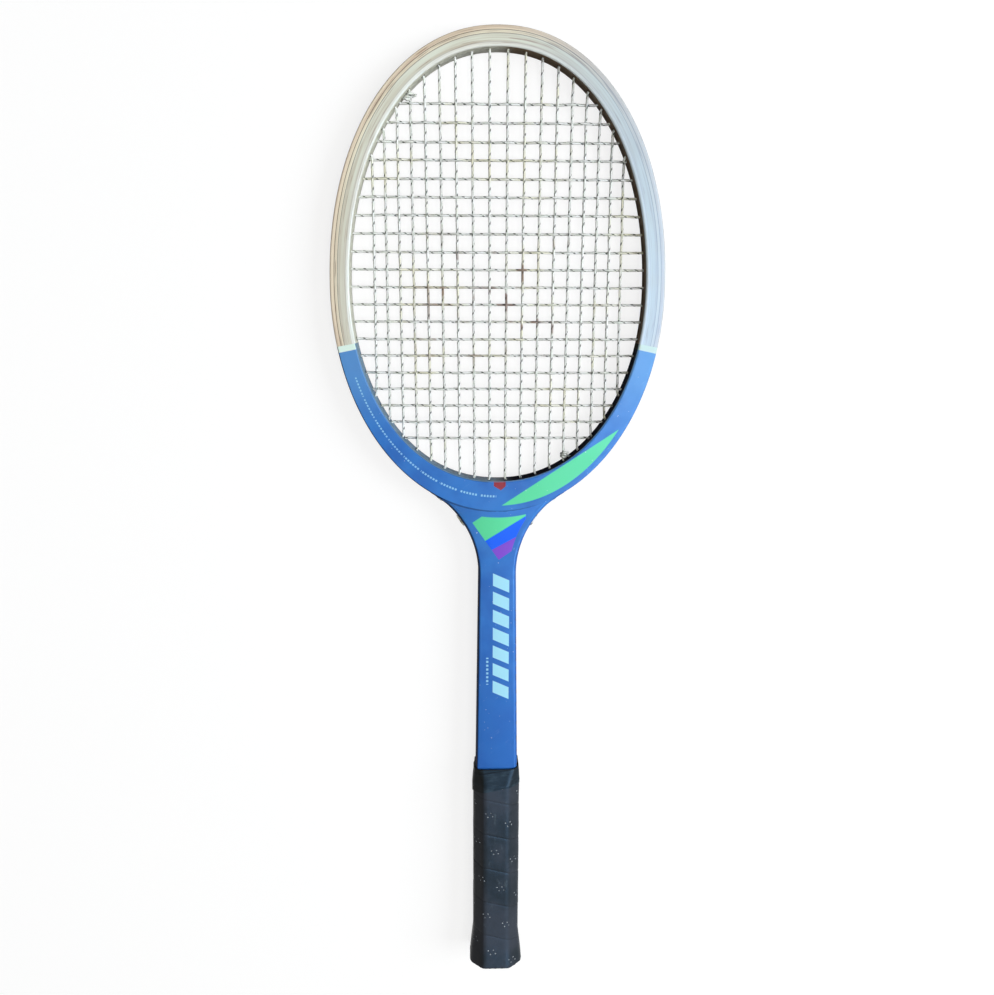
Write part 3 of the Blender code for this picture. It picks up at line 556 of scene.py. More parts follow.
def main_end(index, top):
    """The end of a main, counted from the left, at the tip or the throat."""
    place = index - MAINS // 2 if index >= MAINS // 2 else MAINS // 2 - 1 - index
    half = (INNER_POINTS[:, 1] > WIDEST_Y) == top
    table = np.concatenate([INNER_POINTS, HEAD_NORMALS], 1)[half]
    table = table[np.argsort(table[:, 0])]
    row = read(table, (half_tips if top else half_mains)[place], table[:, 0])
    exit_point = None
    if not top and place < len(THROAT_EXITS):
        point, outward = shoulder(THROAT_EXITS[place])
        exit_point = point + outward * (STRING_RADIUS + 0.0001)
    elif not top and place == len(THROAT_EXITS):
        exit_point = np.array([LAST_GROOVE_EXIT_X, seam_at(LAST_GROOVE_EXIT_X)])
    heading = np.array([0.0, 1.0 if top else -1.0])
    end = string_end(row[:2], unit(row[2:]), heading, BORE_STAGGER, exit_point)
    return end * [1 if index >= MAINS // 2 else -1, 1, 1]


def cross_end(index, side):
    """The end of a cross, counted from the tip, on the right or on the left."""
    row = read(np.concatenate([INNER_POINTS, HEAD_NORMALS], 1), -cross_y[index], -INNER_POINTS[:, 1])
    end = string_end(row[:2], unit(row[2:]), np.array([1.0, 0.0]), -BORE_STAGGER)
    return end * [side, 1, 1]


# %% Routes of the strings
BED_LEAD = 0.003
PATH_STEP = 0.0003
RING_STEP = 0.0010
SMOOTHING = 0.0016


def run_knots(start, finish, crossings, axis):
    """One run's points: out of a bore, over and under each crossing between the walls, into a bore."""
    low, high = sorted([start[0, axis], finish[0, axis]])
    inside = crossings[(crossings[:, axis] > low + BED_LEAD) & (crossings[:, axis] < high - BED_LEAD)]
    inside = inside[np.argsort(inside[:, axis] * (1 if finish[0, axis] > start[0, axis] else -1))]
    return np.concatenate([start[::-1], inside, finish])


def eased_path(knots):
    """Points along straight stretches between knots, whose height eases along a cosine."""
    lengths = np.linalg.norm(np.diff(knots, axis=0), axis=1)
    run = np.concatenate([[0], np.cumsum(lengths)])
    at = np.arange(0, run[-1], PATH_STEP)
    k = np.searchsorted(run, at, side="right") - 1
    share = ((at - run[k]) / lengths[k])[:, None]
    ease = (1 - np.cos(math.pi * share)) / 2
    step = knots[k + 1] - knots[k]
    return knots[k] + step * np.concatenate([share, share, ease], 1)


def softened(path, reach, spacing):
    """The path with its corners eased by a running mean over a short reach, at an even spacing."""
    count = 2 * int(reach / PATH_STEP / 2) + 1
    padded = np.concatenate([np.repeat(path[:1], count // 2, 0), path, np.repeat(path[-1:], count // 2, 0)])
    total = np.cumsum(np.concatenate([np.zeros((1, 3)), padded]), 0)
    soft = (total[count:] - total[:-count]) / count
    run = np.concatenate([[0], np.cumsum(np.linalg.norm(np.diff(soft, axis=0), axis=1))])
    return read(soft, np.linspace(0, run[-1], int(run[-1] / spacing)), run)


main_table = np.stack([crossing_x, crossing_y, over * WEAVE_HEIGHT], -1)
cross_table = np.stack([crossing_x, crossing_y, -over * WEAVE_HEIGHT], -1)
main_ends = [main_end(i, i % 2 == way) for i in range(MAINS) for way in (1, 0)]
cross_ends = [cross_end(i, (-1) ** (i + way)) for i in range(CROSSES) for way in (1, 0)]


def whole_path(ends, tables, axis):
    """The whole string: its runs one after the other, each the other way round from the last."""
    runs = [run_knots(ends[2 * i], ends[2 * i + 1], table, axis) for i, table in enumerate(tables)]
    return softened(eased_path(np.concatenate(runs)), SMOOTHING, RING_STEP)


main_path = whole_path(main_ends, main_table, 1)
cross_path = whole_path(cross_ends, cross_table.swapaxes(0, 1), 0)
for label, path in (("main", main_path), ("cross", cross_path)):
    print(label, "string", round(len(path) * RING_STEP, 2), "m")

# %% [markdown]
# ## Strings and knots as tubes
# A round tube follows each path. No string ever runs straight up, so one upright reference serves for every
# ring of points. The place map runs along the string and once round it, for the twisted tracer.

# %% String tubes
STRING_SIDES = 10


def tube_mesh(name, path):
    """Rings of points round a string's path: p + r (n cos t + b sin t), with n nearly upright."""
    tangent = np.gradient(path, axis=0)
    tangent /= np.linalg.norm(tangent, axis=1)[:, None]
    upright = np.array([0, 0, 1.0]) - tangent * tangent[:, 2:]
    upright /= np.linalg.norm(upright, axis=1)[:, None]
    sideways = np.cross(tangent, upright)
    turn = np.arange(STRING_SIDES) / STRING_SIDES
    angle = 2 * math.pi * turn[None, :, None]
    outward = np.cos(angle) * upright[:, None] + np.sin(angle) * sideways[:, None]
    grid = path[:, None] + STRING_RADIUS * outward
    run = np.concatenate([[0], np.cumsum(np.linalg.norm(np.diff(path, axis=0), axis=1))])
    return ended_mesh(name, grid, np.stack(np.broadcast_arrays(run[:, None], turn[None]), -1))


add_piece(tube_mesh("woven_mains", main_path), ["main_string"])
add_piece(tube_mesh("woven_crosses", cross_path), ["cross_string"])

# %% Tie-off knots
KNOT_TURNS = 2.2
TURN_STEPS = 70
LAST_STEPS = 26
KNOT_TAIL = 0.0030
KNOT_SOFTENING = 0.0009
KNOT_STEP = 0.0004
KNOTS = (("upper_knot", 3, True), ("lower_knot", 13, False))


def knot_path(end):
    """A hitch round a main at the wall: two close turns about the string, one slanted over them, a tail."""
    top = np.sign(end[1, 1] - end[0, 1])
    slope = -(end[1, 0] - end[0, 0]) / (end[1, 1] - end[0, 1])
    turn = np.linspace(0, KNOT_TURNS, TURN_STEPS)
    reach = 2.02 * STRING_RADIUS
    along = 2.05 * STRING_RADIUS * turn
    last = 2 * math.pi * (KNOT_TURNS + np.linspace(0.02, 0.7, LAST_STEPS))
    over_reach = reach + STRING_RADIUS * np.linspace(0, 1.9, LAST_STEPS)
    angle = np.concatenate([2 * math.pi * turn, last])
    radius = np.concatenate([np.full(TURN_STEPS, reach), over_reach])
    along = np.concatenate([along, np.linspace(along[-1], 1.2 * STRING_RADIUS, LAST_STEPS)])
    shape = np.stack([radius * np.cos(angle), -top * along, radius * np.sin(angle)], -1)
    shape[:, 0] += slope * shape[:, 1]
    heading = unit(shape[-1] - shape[-2])
    tail = shape[-1] + heading * np.linspace(0.2, 1, 6)[:, None] * KNOT_TAIL
    shape = np.concatenate([shape, tail])
    return shape + end[0] + [0, -top * STRING_RADIUS, -BORE_STAGGER + WEAVE_HEIGHT]


for knot_name, index, top in KNOTS:
    knot = softened(eased_path(knot_path(main_end(index, top))), KNOT_SOFTENING, KNOT_STEP)
    add_piece(tube_mesh(knot_name + "_hitch", knot), [knot_name])

# %% [markdown]
# ## Bore mouths
# The strings pass through plain drilled holes, a little wider than themselves, whose insides lie in shade.
# Cutting eighty holes in four plies would give a heavy mesh, so each mouth is a thin disc round its string,
# painted with that shade, on the inner wall, in the groove, or on the shoulder where the string comes out
# there.

# %% Bore mouths
MOUTH_RADIUS = 0.00150
MOUTH_PROUD = 0.00006
MOUTH_SIDES = 16


def mouth_places(end):
    """Where a string's straight end goes in and out of the wood: two points with their facing normals."""
    side = np.array([np.sign(end[0, 0]), 1.0])
    flat = end[:, :2] * side
    line = flat[0] + (flat[1] - flat[0]) * np.linspace(0, 1, 120)[:, None]
    apart = np.linalg.norm(line[:, None] - HEAD_POINTS[None, ::4], axis=2)
    near = apart.argmin(1) * 4
    depth = np.einsum("nk,nk->n", HEAD_POINTS[near] - line, HEAD_NORMALS[near])
    inner = int(np.argmax(depth < HEAD_DEPTHS[near]))
    places = [(line[inner], -HEAD_NORMALS[near[inner]])]
    if depth[-1] < -STRING_RADIUS:
        centre = np.array([SHOULDER_X, SHOULDER_Y])
        outward = unit(centre - line[-1])
        places.append((centre - outward * SHOULDER_RADIUS, outward))
    else:
        outer = int(np.argmax(depth < GROOVE_DEPTH))
        places.append((line[outer], HEAD_NORMALS[near[outer]]))
    return [(point * side, normal * side, end[0, 2]) for point, normal in places]


def mouth_mesh(name, places):
    """Discs in one mesh: each is four rings of points, centre, front rim, back rim and centre again."""
    angle = np.linspace(0, 2 * math.pi, MOUTH_SIDES, endpoint=False)
    reach = MOUTH_RADIUS * np.array([0, 1, 1, 0])[:, None]
    proud = np.array([1, 1, -4, -4])[:, None] * MOUTH_PROUD
    grids = []
    for point, normal, level in places:
        facing = np.array([*normal, 0])
        across = np.array([-normal[1], normal[0], 0])
        rim = np.cos(angle)[:, None] * across + np.sin(angle)[:, None] * np.array([0, 0, 1.0])
        grids.append(np.array([*point, level]) + reach[..., None] * rim + proud[..., None] * facing)
    grid = np.concatenate(grids)
    return grid_mesh(name, grid, grid[..., :2])


mouths = [place for knots in main_ends + cross_ends for place in mouth_places(knots)]
add_piece(mouth_mesh("bore_mouths", mouths), [])
print("mouths", len(mouths))

# %% [markdown]
# ## The handle's section
# The handle is an octagon whose corners the leather softens. A point on it is found by its share of the way
# round, from the middle of the front towards +X. Every corner depends on half the width, the bevel, half
# the thickness and half the side's flat, so four small tables of corners give the whole section, and a short
# running mean rounds it.

# %% Octagon round the handle
HANDLE_HALF_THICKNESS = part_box("front_pallet")[1].z
SIDE_FLAT = HALF_THICKNESS - OUTER_ROUND
BY_WIDTH = np.array([0, 1, 1, 1, 1, 0, -1, -1, -1, -1, 0.0])
BY_BEVEL = np.array([0, -1, 0, 0, -1, 0, 1, 0, 0, 1, 0.0])
BY_THICKNESS = np.array([1, 1, 0, 0, -1, -1, -1, 0, 0, 1, 1.0])
BY_FLAT = np.array([0, 0, 1, -1, 0, 0, 0, -1, 1, 0, 0.0])
octagon_x = BY_WIDTH * HANDLE_HALF_WIDTH + BY_BEVEL * (HANDLE_HALF_THICKNESS - SIDE_FLAT)
octagon_z = BY_THICKNESS * HANDLE_HALF_THICKNESS + BY_FLAT * SIDE_FLAT
octagon_run = np.concatenate([[0], np.cumsum(np.hypot(np.diff(octagon_x), np.diff(octagon_z)))])
PERIMETER = float(octagon_run[-1])
ROUNDING = 0.022
ROUNDING_STEPS = 9


def octagon(share, width, thick, flat):
    """Points x, z on the softened octagon at shares of the way round, for half sizes given by point."""
    x, z = 0, 0
    for shift in np.linspace(-ROUNDING, ROUNDING, ROUNDING_STEPS):
        at = np.mod(share + shift, 1) * PERIMETER
        x = x + width * np.interp(at, octagon_run, BY_WIDTH)
        x = x + (thick - flat) * np.interp(at, octagon_run, BY_BEVEL)
        z = z + thick * np.interp(at, octagon_run, BY_THICKNESS)
        z = z + flat * np.interp(at, octagon_run, BY_FLAT)
    return x / ROUNDING_STEPS, z / ROUNDING_STEPS


def out_and_back(edge, skip):
    """Shares across a strip and, in fewer steps, back under it, with 1 for those on its outside."""
    back = edge[::-skip]
    outside = np.concatenate([np.ones(len(edge)), np.zeros(len(back))])
    return np.concatenate([edge, back])[None], outside[None]


def wound_mesh(name, turn, across, y, sizes, strip_width):
    """A wound strip from its octagon's half sizes; the place map is metres along and across it."""
    x, z = octagon(turn, *sizes)
    grid = np.stack(np.broadcast_arrays(x, y, z), -1)
    return ended_mesh(name, grid, np.stack(np.broadcast_arrays(turn * PERIMETER, across * strip_width), -1))


def ripple(u, v, seed, waves=7):
    """A smooth unevenness between about -1 and 1: a sum of slow sine waves with seeded directions."""
    random = np.random.default_rng(seed)
    total = 0
    for _ in range(waves):
        along, across = random.uniform(-1, 1), random.uniform(-1, 1)
        phase = random.uniform(0, 2 * math.pi)
        total = total + np.sin(u * along + v * across + phase)
    return total / math.sqrt(waves)


print("handle", round(PERIMETER * 1000), "mm round, under the wrap")

# %% [markdown]
# ## The wound grip
# One long strip is wound on from the butt. Its turns fall to the right on the front and meet edge to edge,
# in a shallow crease. The surface is a strip too: rows go round the handle and down it, and a section goes
# across the strip and back underneath. Where a turn would pass the ends it is held at them, so the strip
# ends as if trimmed square.

# %% Grip wrap
WRAP_THICKNESS = 0.0015
WRAP_PITCH = 0.0285
WRAP_SEAM_Y = 0.112
FIT_GAP = 0.0003
FLARE = 0.0030
FLARE_TOP_Y = 0.028
WRAP_BOTTOM_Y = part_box("grip_wrap")[0].y
WRAP_TOP_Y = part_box("grip_wrap")[1].y
WRAP_ROWS_A_TURN = 110
CREASE_WIDTH = 0.0006
END_ROUND = 0.0012
BEVEL_SHARE = math.tan(math.pi / 8)


def flare(y):
    """How far the butt's swelling lifts the wrap at this y."""
    return FLARE * np.clip(1 - y / FLARE_TOP_Y, 0, None) ** 1.15


def wrap_mesh(name):
    """The strip's surface: height above the octagon is the leather, less at its edges, plus the flare."""
    top_turn = (WRAP_SEAM_Y - WRAP_TOP_Y) / WRAP_PITCH - 1
    bottom_turn = (WRAP_SEAM_Y - WRAP_BOTTOM_Y) / WRAP_PITCH + 1
    rows = int((bottom_turn - top_turn) * WRAP_ROWS_A_TURN)
    turn = np.linspace(top_turn, bottom_turn, rows)[:, None]
    across, outside = out_and_back(0.5 - 0.5 * np.cos(np.linspace(0, math.pi, 26)), 5)
    from_edge = np.minimum(across, 1 - across) * WRAP_PITCH
    leather = WRAP_THICKNESS * (1.02 - 0.04 * across - 0.09 * np.exp(-((from_edge / CREASE_WIDTH) ** 2)))
    leather = leather + 0.00009 * ripple(turn * 9, across * 5, 3)
    leather = leather + 0.00004 * ripple(turn * 40, across * 14, 4)
    y = np.clip(WRAP_SEAM_Y - WRAP_PITCH * (turn - across), WRAP_BOTTOM_Y, WRAP_TOP_Y)
    from_butt = np.clip((y - WRAP_BOTTOM_Y) / END_ROUND, 0, 1)
    leather = leather * (0.45 + 0.55 * np.sqrt(1 - (1 - from_butt) ** 2))
    reach = FIT_GAP + flare(y) + leather * outside
    sizes = HANDLE_HALF_WIDTH + reach, HANDLE_HALF_THICKNESS + reach, SIDE_FLAT + reach * BEVEL_SHARE
    return wound_mesh(name, turn, across, y, sizes, WRAP_PITCH)


wrap = add_piece(wrap_mesh("wound_grip"), ["grip_wrap"])

# %% [markdown]
# ## The finishing tape
# A smooth dark band is stretched twice round the wrap's upper end and onto the shaft. The first turn lies
# level. The second slants up to the right, so one of its edges crosses the front. It follows a width and a
# thickness that fall from the wrap to the bare shaft.

# %% Finishing tape
TAPE_LAYER = 0.00022
TAPE_KNOTS_Y = [0.1475, 0.1535, 0.1580, 0.1630, 0.1665, 0.1710]
TAPE_HALF_WIDTHS = [0.01765, 0.01740, 0.01690, 0.01660, 0.01630, 0.01590]
TAPE_HALF_THICKNESSES = [0.01605, 0.01590, 0.01395, 0.01175, 0.01035, 0.00965]
TAPE_TURNS = 2.0
TAPE_WIDTH = 0.0135
TAPE_LOW_Y = 0.1512
TAPE_HIGH_Y = 0.1650


def tape_mesh(name):
    """The band's surface: its edges are slow waves round the handle, and each turn lies on the last."""
    turn = np.linspace(-0.5, TAPE_TURNS - 0.5, 400)[:, None]
    slant = 0.5 + 0.5 * np.tanh((turn - 0.5) * 6)
    swing = np.sin(2 * math.pi * turn)
    low_edge = TAPE_LOW_Y - 0.0008 * slant + (0.0009 + 0.0034 * slant) * swing
    sides_up = 0.5 - 0.5 * np.cos(2 * math.pi * turn)
    high_edge = TAPE_HIGH_Y + 0.0020 * sides_up - 0.0016 * slant + 0.0030 * slant * swing
    across, outside = out_and_back(np.linspace(0, 1, 28), 3)
    y = low_edge + (high_edge - low_edge) * across
    y = y + 0.00025 * ripple(turn * 12, across * 3, 8)
    lift = TAPE_LAYER * (turn + 0.5) + 0.9 * TAPE_LAYER * outside
    crease = 0.00005 * ripple(turn * 45, across * 6, 5) + 0.00004 * ripple(turn * 18, across * 14, 6)
    reach = lift + crease * (0.4 + across)
    width = np.interp(y, TAPE_KNOTS_Y, TAPE_HALF_WIDTHS) + reach
    thick = np.interp(y, TAPE_KNOTS_Y, TAPE_HALF_THICKNESSES) + reach
    flat = SIDE_FLAT + 0.4 * (width - HANDLE_HALF_WIDTH)
    return wound_mesh(name, turn, across, y, (width, thick, flat), TAPE_WIDTH)


add_piece(tape_mesh("stretched_tape"), ["finishing_tape"])

# %% [markdown]
# ## Floor and light
# A pale floor touches the butt and the tip, so it leans by under a degree. Light comes from a large soft
# source high on the right, with a weaker one overhead and a dim room around. A blue panel of sky shows only
# in the varnish, as a cool sheen on the right. The floor is white to the camera and greyer to other rays, so
# that it doesn't fill the hoop's shaded inner wall.

# %% Floor
FLOOR_REACH = 6.0
FLOOR_GAP = 0.0001
TIP_CONTACT = 0.004
butt_bottom = min(v.co.z for v in wrap.data.vertices)
lean = (butt_bottom + HALF_THICKNESS) / (TIP_Y - TIP_CONTACT)
square = [(x * FLOOR_REACH, y * FLOOR_REACH) for x, y in ((-1, -1), (1, -1), (1, 1), (-1, 1))]
floor_corners = [(x, y, butt_bottom - FLOOR_GAP - lean * y) for x, y in square]
floor_mesh = bpy.data.meshes.new("floor")
floor_mesh.from_pydata(floor_corners, [], [(0, 1, 2, 3)])
floor = bpy.data.objects.new("floor", floor_mesh)
bpy.context.scene.collection.objects.link(floor)
print("floor leans", round(math.degrees(math.atan(-lean)), 2), "degrees")

# %% Lights
def soft_light(name, place, target, size, brightness, tint):
    """A rectangular lamp that faces a point; brightness is the share of full light it gives there."""
    lamp = bpy.data.lights.new(name, "AREA")
    lamp.shape = "RECTANGLE"
    lamp.size, lamp.size_y = size
    lamp.color = tint
    towards = np.array(target) - np.array(place)
    distance = float(np.linalg.norm(towards))
    steepness = -towards[2] / distance
    lamp.energy = brightness * (math.pi * distance) ** 2 / steepness
    holder = bpy.data.objects.new(name, lamp)
    holder.location = place
    holder.rotation_euler = (math.acos(steepness), 0, math.atan2(towards[1], towards[0]) - math.pi / 2)
    bpy.context.scene.collection.objects.link(holder)
    print(name, round(lamp.energy, 1), "W")
    return holder


soft_light("window_light", (2.4, 0.6, 2.1), (0.0, 0.40, 0.0), (1.6, 2.0), 0.56, (0.92, 0.97, 1.0))
ceiling = soft_light(
    "ceiling_light", (0.30, 0.25, 2.2), (0.0, 0.35, 0.0), (0.9, 0.9), 0.38, (1.0, 0.975, 0.94)
)
ceiling.visible_glossy = False
sky_panel = soft_light(
    "sky_panel", (0.88, 0.25, 1.7), (0.10, 0.45, 0.0), (1.9, 1.1), 4.2, (0.30, 0.60, 1.0)
)
sky_panel.visible_diffuse = False

ROOM_STRENGTH = 0.08
world = bpy.data.worlds.new("room")
world.use_nodes = True
bpy.context.scene.world = world
bpy.context.scene.view_settings.view_transform = "Standard"

# %% [markdown]
# ## Finishes
# Every finish is built from nodes. A small class keeps the lines short: each call adds one node and returns
# its output. Colours are written as they look, from 0 to 255.

# %% Node helper
def colour(red, green, blue):
    """A colour as it looks, turned into the linear light that shaders use."""
    share = np.array([red, green, blue]) / 255
    linear = np.where(share > 0.04045, ((share + 0.055) / 1.055) ** 2.4, share / 12.92)
    return (*(float(c) for c in linear), 1.0)


class Tree:
    """Adds nodes to a tree; each call returns an output that can be given to the next."""

    def __init__(self, tree):
        self.tree = tree

    def fill(self, node, inputs):
        """Gives each of these inputs of a node an output or a constant."""
        for key, value in inputs.items():
            if isinstance(value, bpy.types.NodeSocket):
                self.tree.links.new(value, node.inputs[key])
            else:
                node.inputs[key].default_value = value

    def node(self, kind, inputs, **settings):
        node = self.tree.nodes.new(kind)
        for key, value in settings.items():
            setattr(node, key, value)
        self.fill(node, inputs)
        return node

    def add(self, kind, inputs, output=0, **settings):
        return self.node(kind, inputs, **settings).outputs[output]

    def math(self, operation, first, second=0.0):
        return self.add("ShaderNodeMath", {0: first, 1: second}, operation=operation)

    def vector(self, operation, first, second, output=0):
        return self.add("ShaderNodeVectorMath", {0: first, 1: second}, output, operation=operation)

    def times(self, first, second):
        return self.math("MULTIPLY", first, second)

    def plus(self, first, second):
        return self.math("ADD", first, second)

    def minus(self, first, second):
        return self.math("SUBTRACT", first, second)

    def size(self, value):
        return self.math("ABSOLUTE", value)

    def off_middle(self, value, middle):
        """How far a value is from the middle one, either way."""
        return self.size(self.minus(value, middle))

    def repeats(self, value, pitch):
        """How far along its repeat a value is, from 0 to 1."""
        return self.math("FRACT", self.times(value, 1 / pitch))

    def all_of(self, *masks):
        """Where every mask holds: their product."""
        result = masks[0]
        for mask in masks[1:]:
            result = self.times(result, mask)
        return result

    def ramp(self, value, start, finish, low=0.0, high=1.0):
        """A smooth step of the value between two places."""
        inputs = {"Value": value, "From Min": start, "From Max": finish, "To Min": low, "To Max": high}
        return self.add("ShaderNodeMapRange", inputs, interpolation_type="SMOOTHSTEP", clamp=True)

    def falling(self, value, start, finish, high=1.0):
        """A smooth step down to nothing."""
        return self.ramp(value, start, finish, high, 0.0)

    def band(self, value, start, full, still, finish):
        """1 from full to still, with a smooth step up before it and one down after it."""
        return self.times(self.ramp(value, start, full), self.falling(value, still, finish))

    def mix(self, share, first, second):
        return self.add("ShaderNodeMix", {0: share, 6: first, 7: second}, 2, data_type="RGBA")

    def over(self, base, *layers):
        """A colour with others laid over it in turn, each given by its mask and its colour."""
        for mask, layer in layers:
            base = self.mix(mask, base, layer)
        return base

    def noise(self, vector, scale, detail=2.0, rough=0.5):
        """Noise at one scale, or at three of them, which stretch it."""
        if isinstance(scale, tuple):
            vector, scale = self.vector("MULTIPLY", vector, scale), 1.0
        inputs = {"Vector": vector, "Scale": scale, "Detail": detail, "Roughness": rough}
        return self.add("ShaderNodeTexNoise", inputs)

    def position(self):
        """The place on the racket: each piece's own coordinates, which are also the racket's."""
        return self.add("ShaderNodeTexCoord", {}, 3)

    def place(self):
        """The two numbers of the place map, as the first two of three outputs."""
        return self.parts(self.add("ShaderNodeUVMap", {}, uv_map="place"))

    def kept(self, name):
        """A number that the mesh keeps at each of its points."""
        return self.add("ShaderNodeAttribute", {}, 2, attribute_name=name)

    def parts(self, vector):
        return self.node("ShaderNodeSeparateXYZ", {0: vector}).outputs

    def joined(self, x, y, z=0.0):
        return self.add("ShaderNodeCombineXYZ", {0: x, 1: y, 2: z})

    def bump(self, height, distance):
        return self.add("ShaderNodeBump", {"Height": height, "Distance": distance, "Strength": 1.0})

    def group(self, group, inputs):
        """Places a node group and returns its outputs by name."""
        return self.node("ShaderNodeGroup", inputs, node_tree=group).outputs


def new_group(name, inputs, outputs):
    """An empty node group with named sockets, its tree helper, its inputs and its output node."""
    group = bpy.data.node_groups.new(name, "ShaderNodeTree")
    for direction, sockets in (("INPUT", inputs), ("OUTPUT", outputs)):
        for socket, kind in sockets.items():
            group.interface.new_socket(socket, in_out=direction, socket_type="NodeSocket" + kind)
    entry = group.nodes.new("NodeGroupInput")
    leave = group.nodes.new("NodeGroupOutput")
    return group, Tree(group), entry.outputs, leave


def new_material(name, roughness, **settings):
    """A material with its Principled shader; settings are constants on the shader's own sockets."""
    material = bpy.data.materials.new(name)
    material.use_nodes = True
    shader = material.node_tree.nodes["Principled BSDF"]
    shader.inputs["Roughness"].default_value = roughness
    for key, value in settings.items():
        shader.inputs[key.replace("_", " ").title().replace("Ior", "IOR")].default_value = value
    return material, Tree(material.node_tree), shader


def finish_with(material, *names):
    """Gives the material to pieces and solids by name."""
    for name in names:
        data = bpy.data.objects[name].data
        data.materials.clear()
        data.materials.append(material)
    print(material.name, "has", len(material.node_tree.nodes), "nodes, on", len(names), "pieces")


# %% [markdown]
# ### Wood
# Bent boards show long, fine streaks along the bend. The grain is noise that is stretched along the ply: its
# coordinates are the distance round the hoop, the depth and the height, so streaks follow the curve. Broad
# tone, bands, fibre and dark pores are four scales of it.

# %% Wood grain group
grain_group, t, entry, leave = new_group(
    "wood_grain",
    {"Place": "Vector", "Pale": "Color", "Dark": "Color", "Pore": "Color"},
    {"Color": "Color", "Height": "Float"},
)
tone = t.noise(entry["Place"], (7, 110, 110), 3)
band = t.noise(entry["Place"], (9, 420, 420), 2, 0.6)
fibre = t.noise(entry["Place"], (22, 600, 600), 2)
pores = t.noise(entry["Place"], (45, 950, 950), 1)
streak = t.plus(t.times(t.ramp(band, 0.42, 0.60), 0.6), t.times(t.ramp(fibre, 0.42, 0.64), 0.4))
blush = t.times(t.ramp(tone, 0.47, 0.62), 0.5)
pore_mask = t.times(t.ramp(pores, 0.57, 0.68), t.ramp(band, 0.44, 0.58))
grain = t.over(
    entry["Pale"],
    (streak, entry["Dark"]),
    (blush, t.mix(0.5, entry["Pore"], entry["Pale"])),
    (t.times(pore_mask, 0.7), entry["Pore"]),
)
t.fill(leave, {"Color": grain, "Height": t.minus(fibre, pore_mask)})
print("wood_grain group", len(grain_group.nodes), "nodes")

# %% [markdown]
# ### Paint
# Below two cream bands, a little darker on the right, the wood is painted blue. A mint field fills the lower
# right of the hoop, and three slanting stripes cross the throat. Each straight edge is a half-plane through
# two points, and the curved ones keep a distance from the head's edge or from the shoulder's circle. Slanted
# bars, ticks and a row of dashes are the only other marks.

# %% Paint group
CREAM_TOP_RUN = run_at_y(0.4790)
CREAM_LOW_RUN = run_at_y(0.4748)
SOFT_EDGE = 0.00012
MINT = colour(92, 222, 158)
VIVID_BLUE = colour(6, 96, 250)
PURPLE = colour(130, 70, 206)
RED = colour(150, 40, 48)
CREAM = colour(228, 250, 240)
SHADED_CREAM = colour(202, 222, 214)
PALE_CYAN = colour(168, 228, 248)
BLUE = colour(54, 124, 206)
DEEP_BLUE = colour(44, 102, 186)
UPPER_BLUE = colour(100, 156, 214)
SEAM_DARK = colour(16, 38, 84)

paint_group, t, entry, leave = new_group(
    "racket_paint", {"Place": "Vector", "Position": "Vector"}, {"Color": "Color", "Painted": "Float"}
)
run_in, depth_in, share_in = t.parts(entry["Place"])
x_in, y_in, z_in = t.parts(entry["Position"])


def past(value, edge, soft=SOFT_EDGE):
    """1 where the value is past the edge and 0 before it."""
    return t.ramp(value, edge - soft, edge + soft)


def between(value, low, high, soft=SOFT_EDGE):
    """1 where the value lies between two edges."""
    return t.band(value, low - soft, low + soft, high - soft, high + soft)


def left_of(start, finish):
    """1 on the left of the line from start to finish, seen from the front, 0 on its right."""
    step = np.array(finish) - np.array(start)
    normal = unit(np.array([-step[1], step[0]]))
    reach = t.plus(t.times(x_in, float(normal[0])), t.times(y_in, float(normal[1])))
    return past(reach, float(normal @ start))


def outside_circle(x, y, radius):
    """1 outside a circle round x, y."""
    return past(t.vector("DISTANCE", t.joined(x_in, y_in), (x, y, 0.0), 1), radius)


STRIPE_LEFT = ((-0.0179, 0.3549), (0.0010, 0.3276))
STRIPE_CORNER = ((-0.0118, 0.3590), (-0.0179, 0.3549))
MINT_LOW = ((-0.0087, 0.3415), (0.0215, 0.3605))
VIVID_LOW = ((-0.0042, 0.3346), (0.0139, 0.3446))
PURPLE_LOW = ((0.0010, 0.3274), (0.0110, 0.3345))
LEAF_TOP = ((0.0867, 0.4230), (0.0032, 0.3676))
SEAM_CURVE_Y = 0.4473
STRIPE_SEAM_GAP = 0.0045
STRIPE_SHOULDER_GAP = 0.0053
STRIPE_END_X = 0.0203
LEAF_INSET = 0.0042
LEAF_START_X = 0.00225
MARK_CORNERS = ((-0.0027, 0.3816), (0.0024, 0.3785), (0.0050, 0.3808))
BARS_LOW = 0.2245
BARS_HIGH = 0.3180
BAR_PITCH = 0.0137
BAR_SLANT = 0.45
TICK_PITCH = 0.0030
DASH_PITCH = 0.0024
DASH_GROUP = 0.0170

# %% Stripes and marks
patch = t.all_of(
    left_of(*STRIPE_LEFT),
    left_of(*STRIPE_CORNER),
    outside_circle(SHOULDER_X, SHOULDER_Y, SHOULDER_RADIUS + STRIPE_SHOULDER_GAP),
    outside_circle(0.0, SEAM_CURVE_Y, SEAM_CURVE_Y - SEAM_Y + STRIPE_SEAM_GAP),
    left_of(*PURPLE_LOW),
    t.falling(x_in, STRIPE_END_X - 0.0003, STRIPE_END_X + 0.0003),
)
leaf = t.all_of(
    left_of(*LEAF_TOP), past(depth_in, LEAF_INSET), past(x_in, LEAF_START_X, 0.00025)
)
red_mark = t.all_of(
    t.falling(y_in, 0.3858, 0.3860),
    left_of(*MARK_CORNERS[:2]),
    left_of(*MARK_CORNERS[1:]),
    between(x_in, -0.0026, 0.0058),
    t.ramp(depth_in, 0.010, 0.0102),
)
slanted = t.plus(y_in, t.times(x_in, BAR_SLANT))
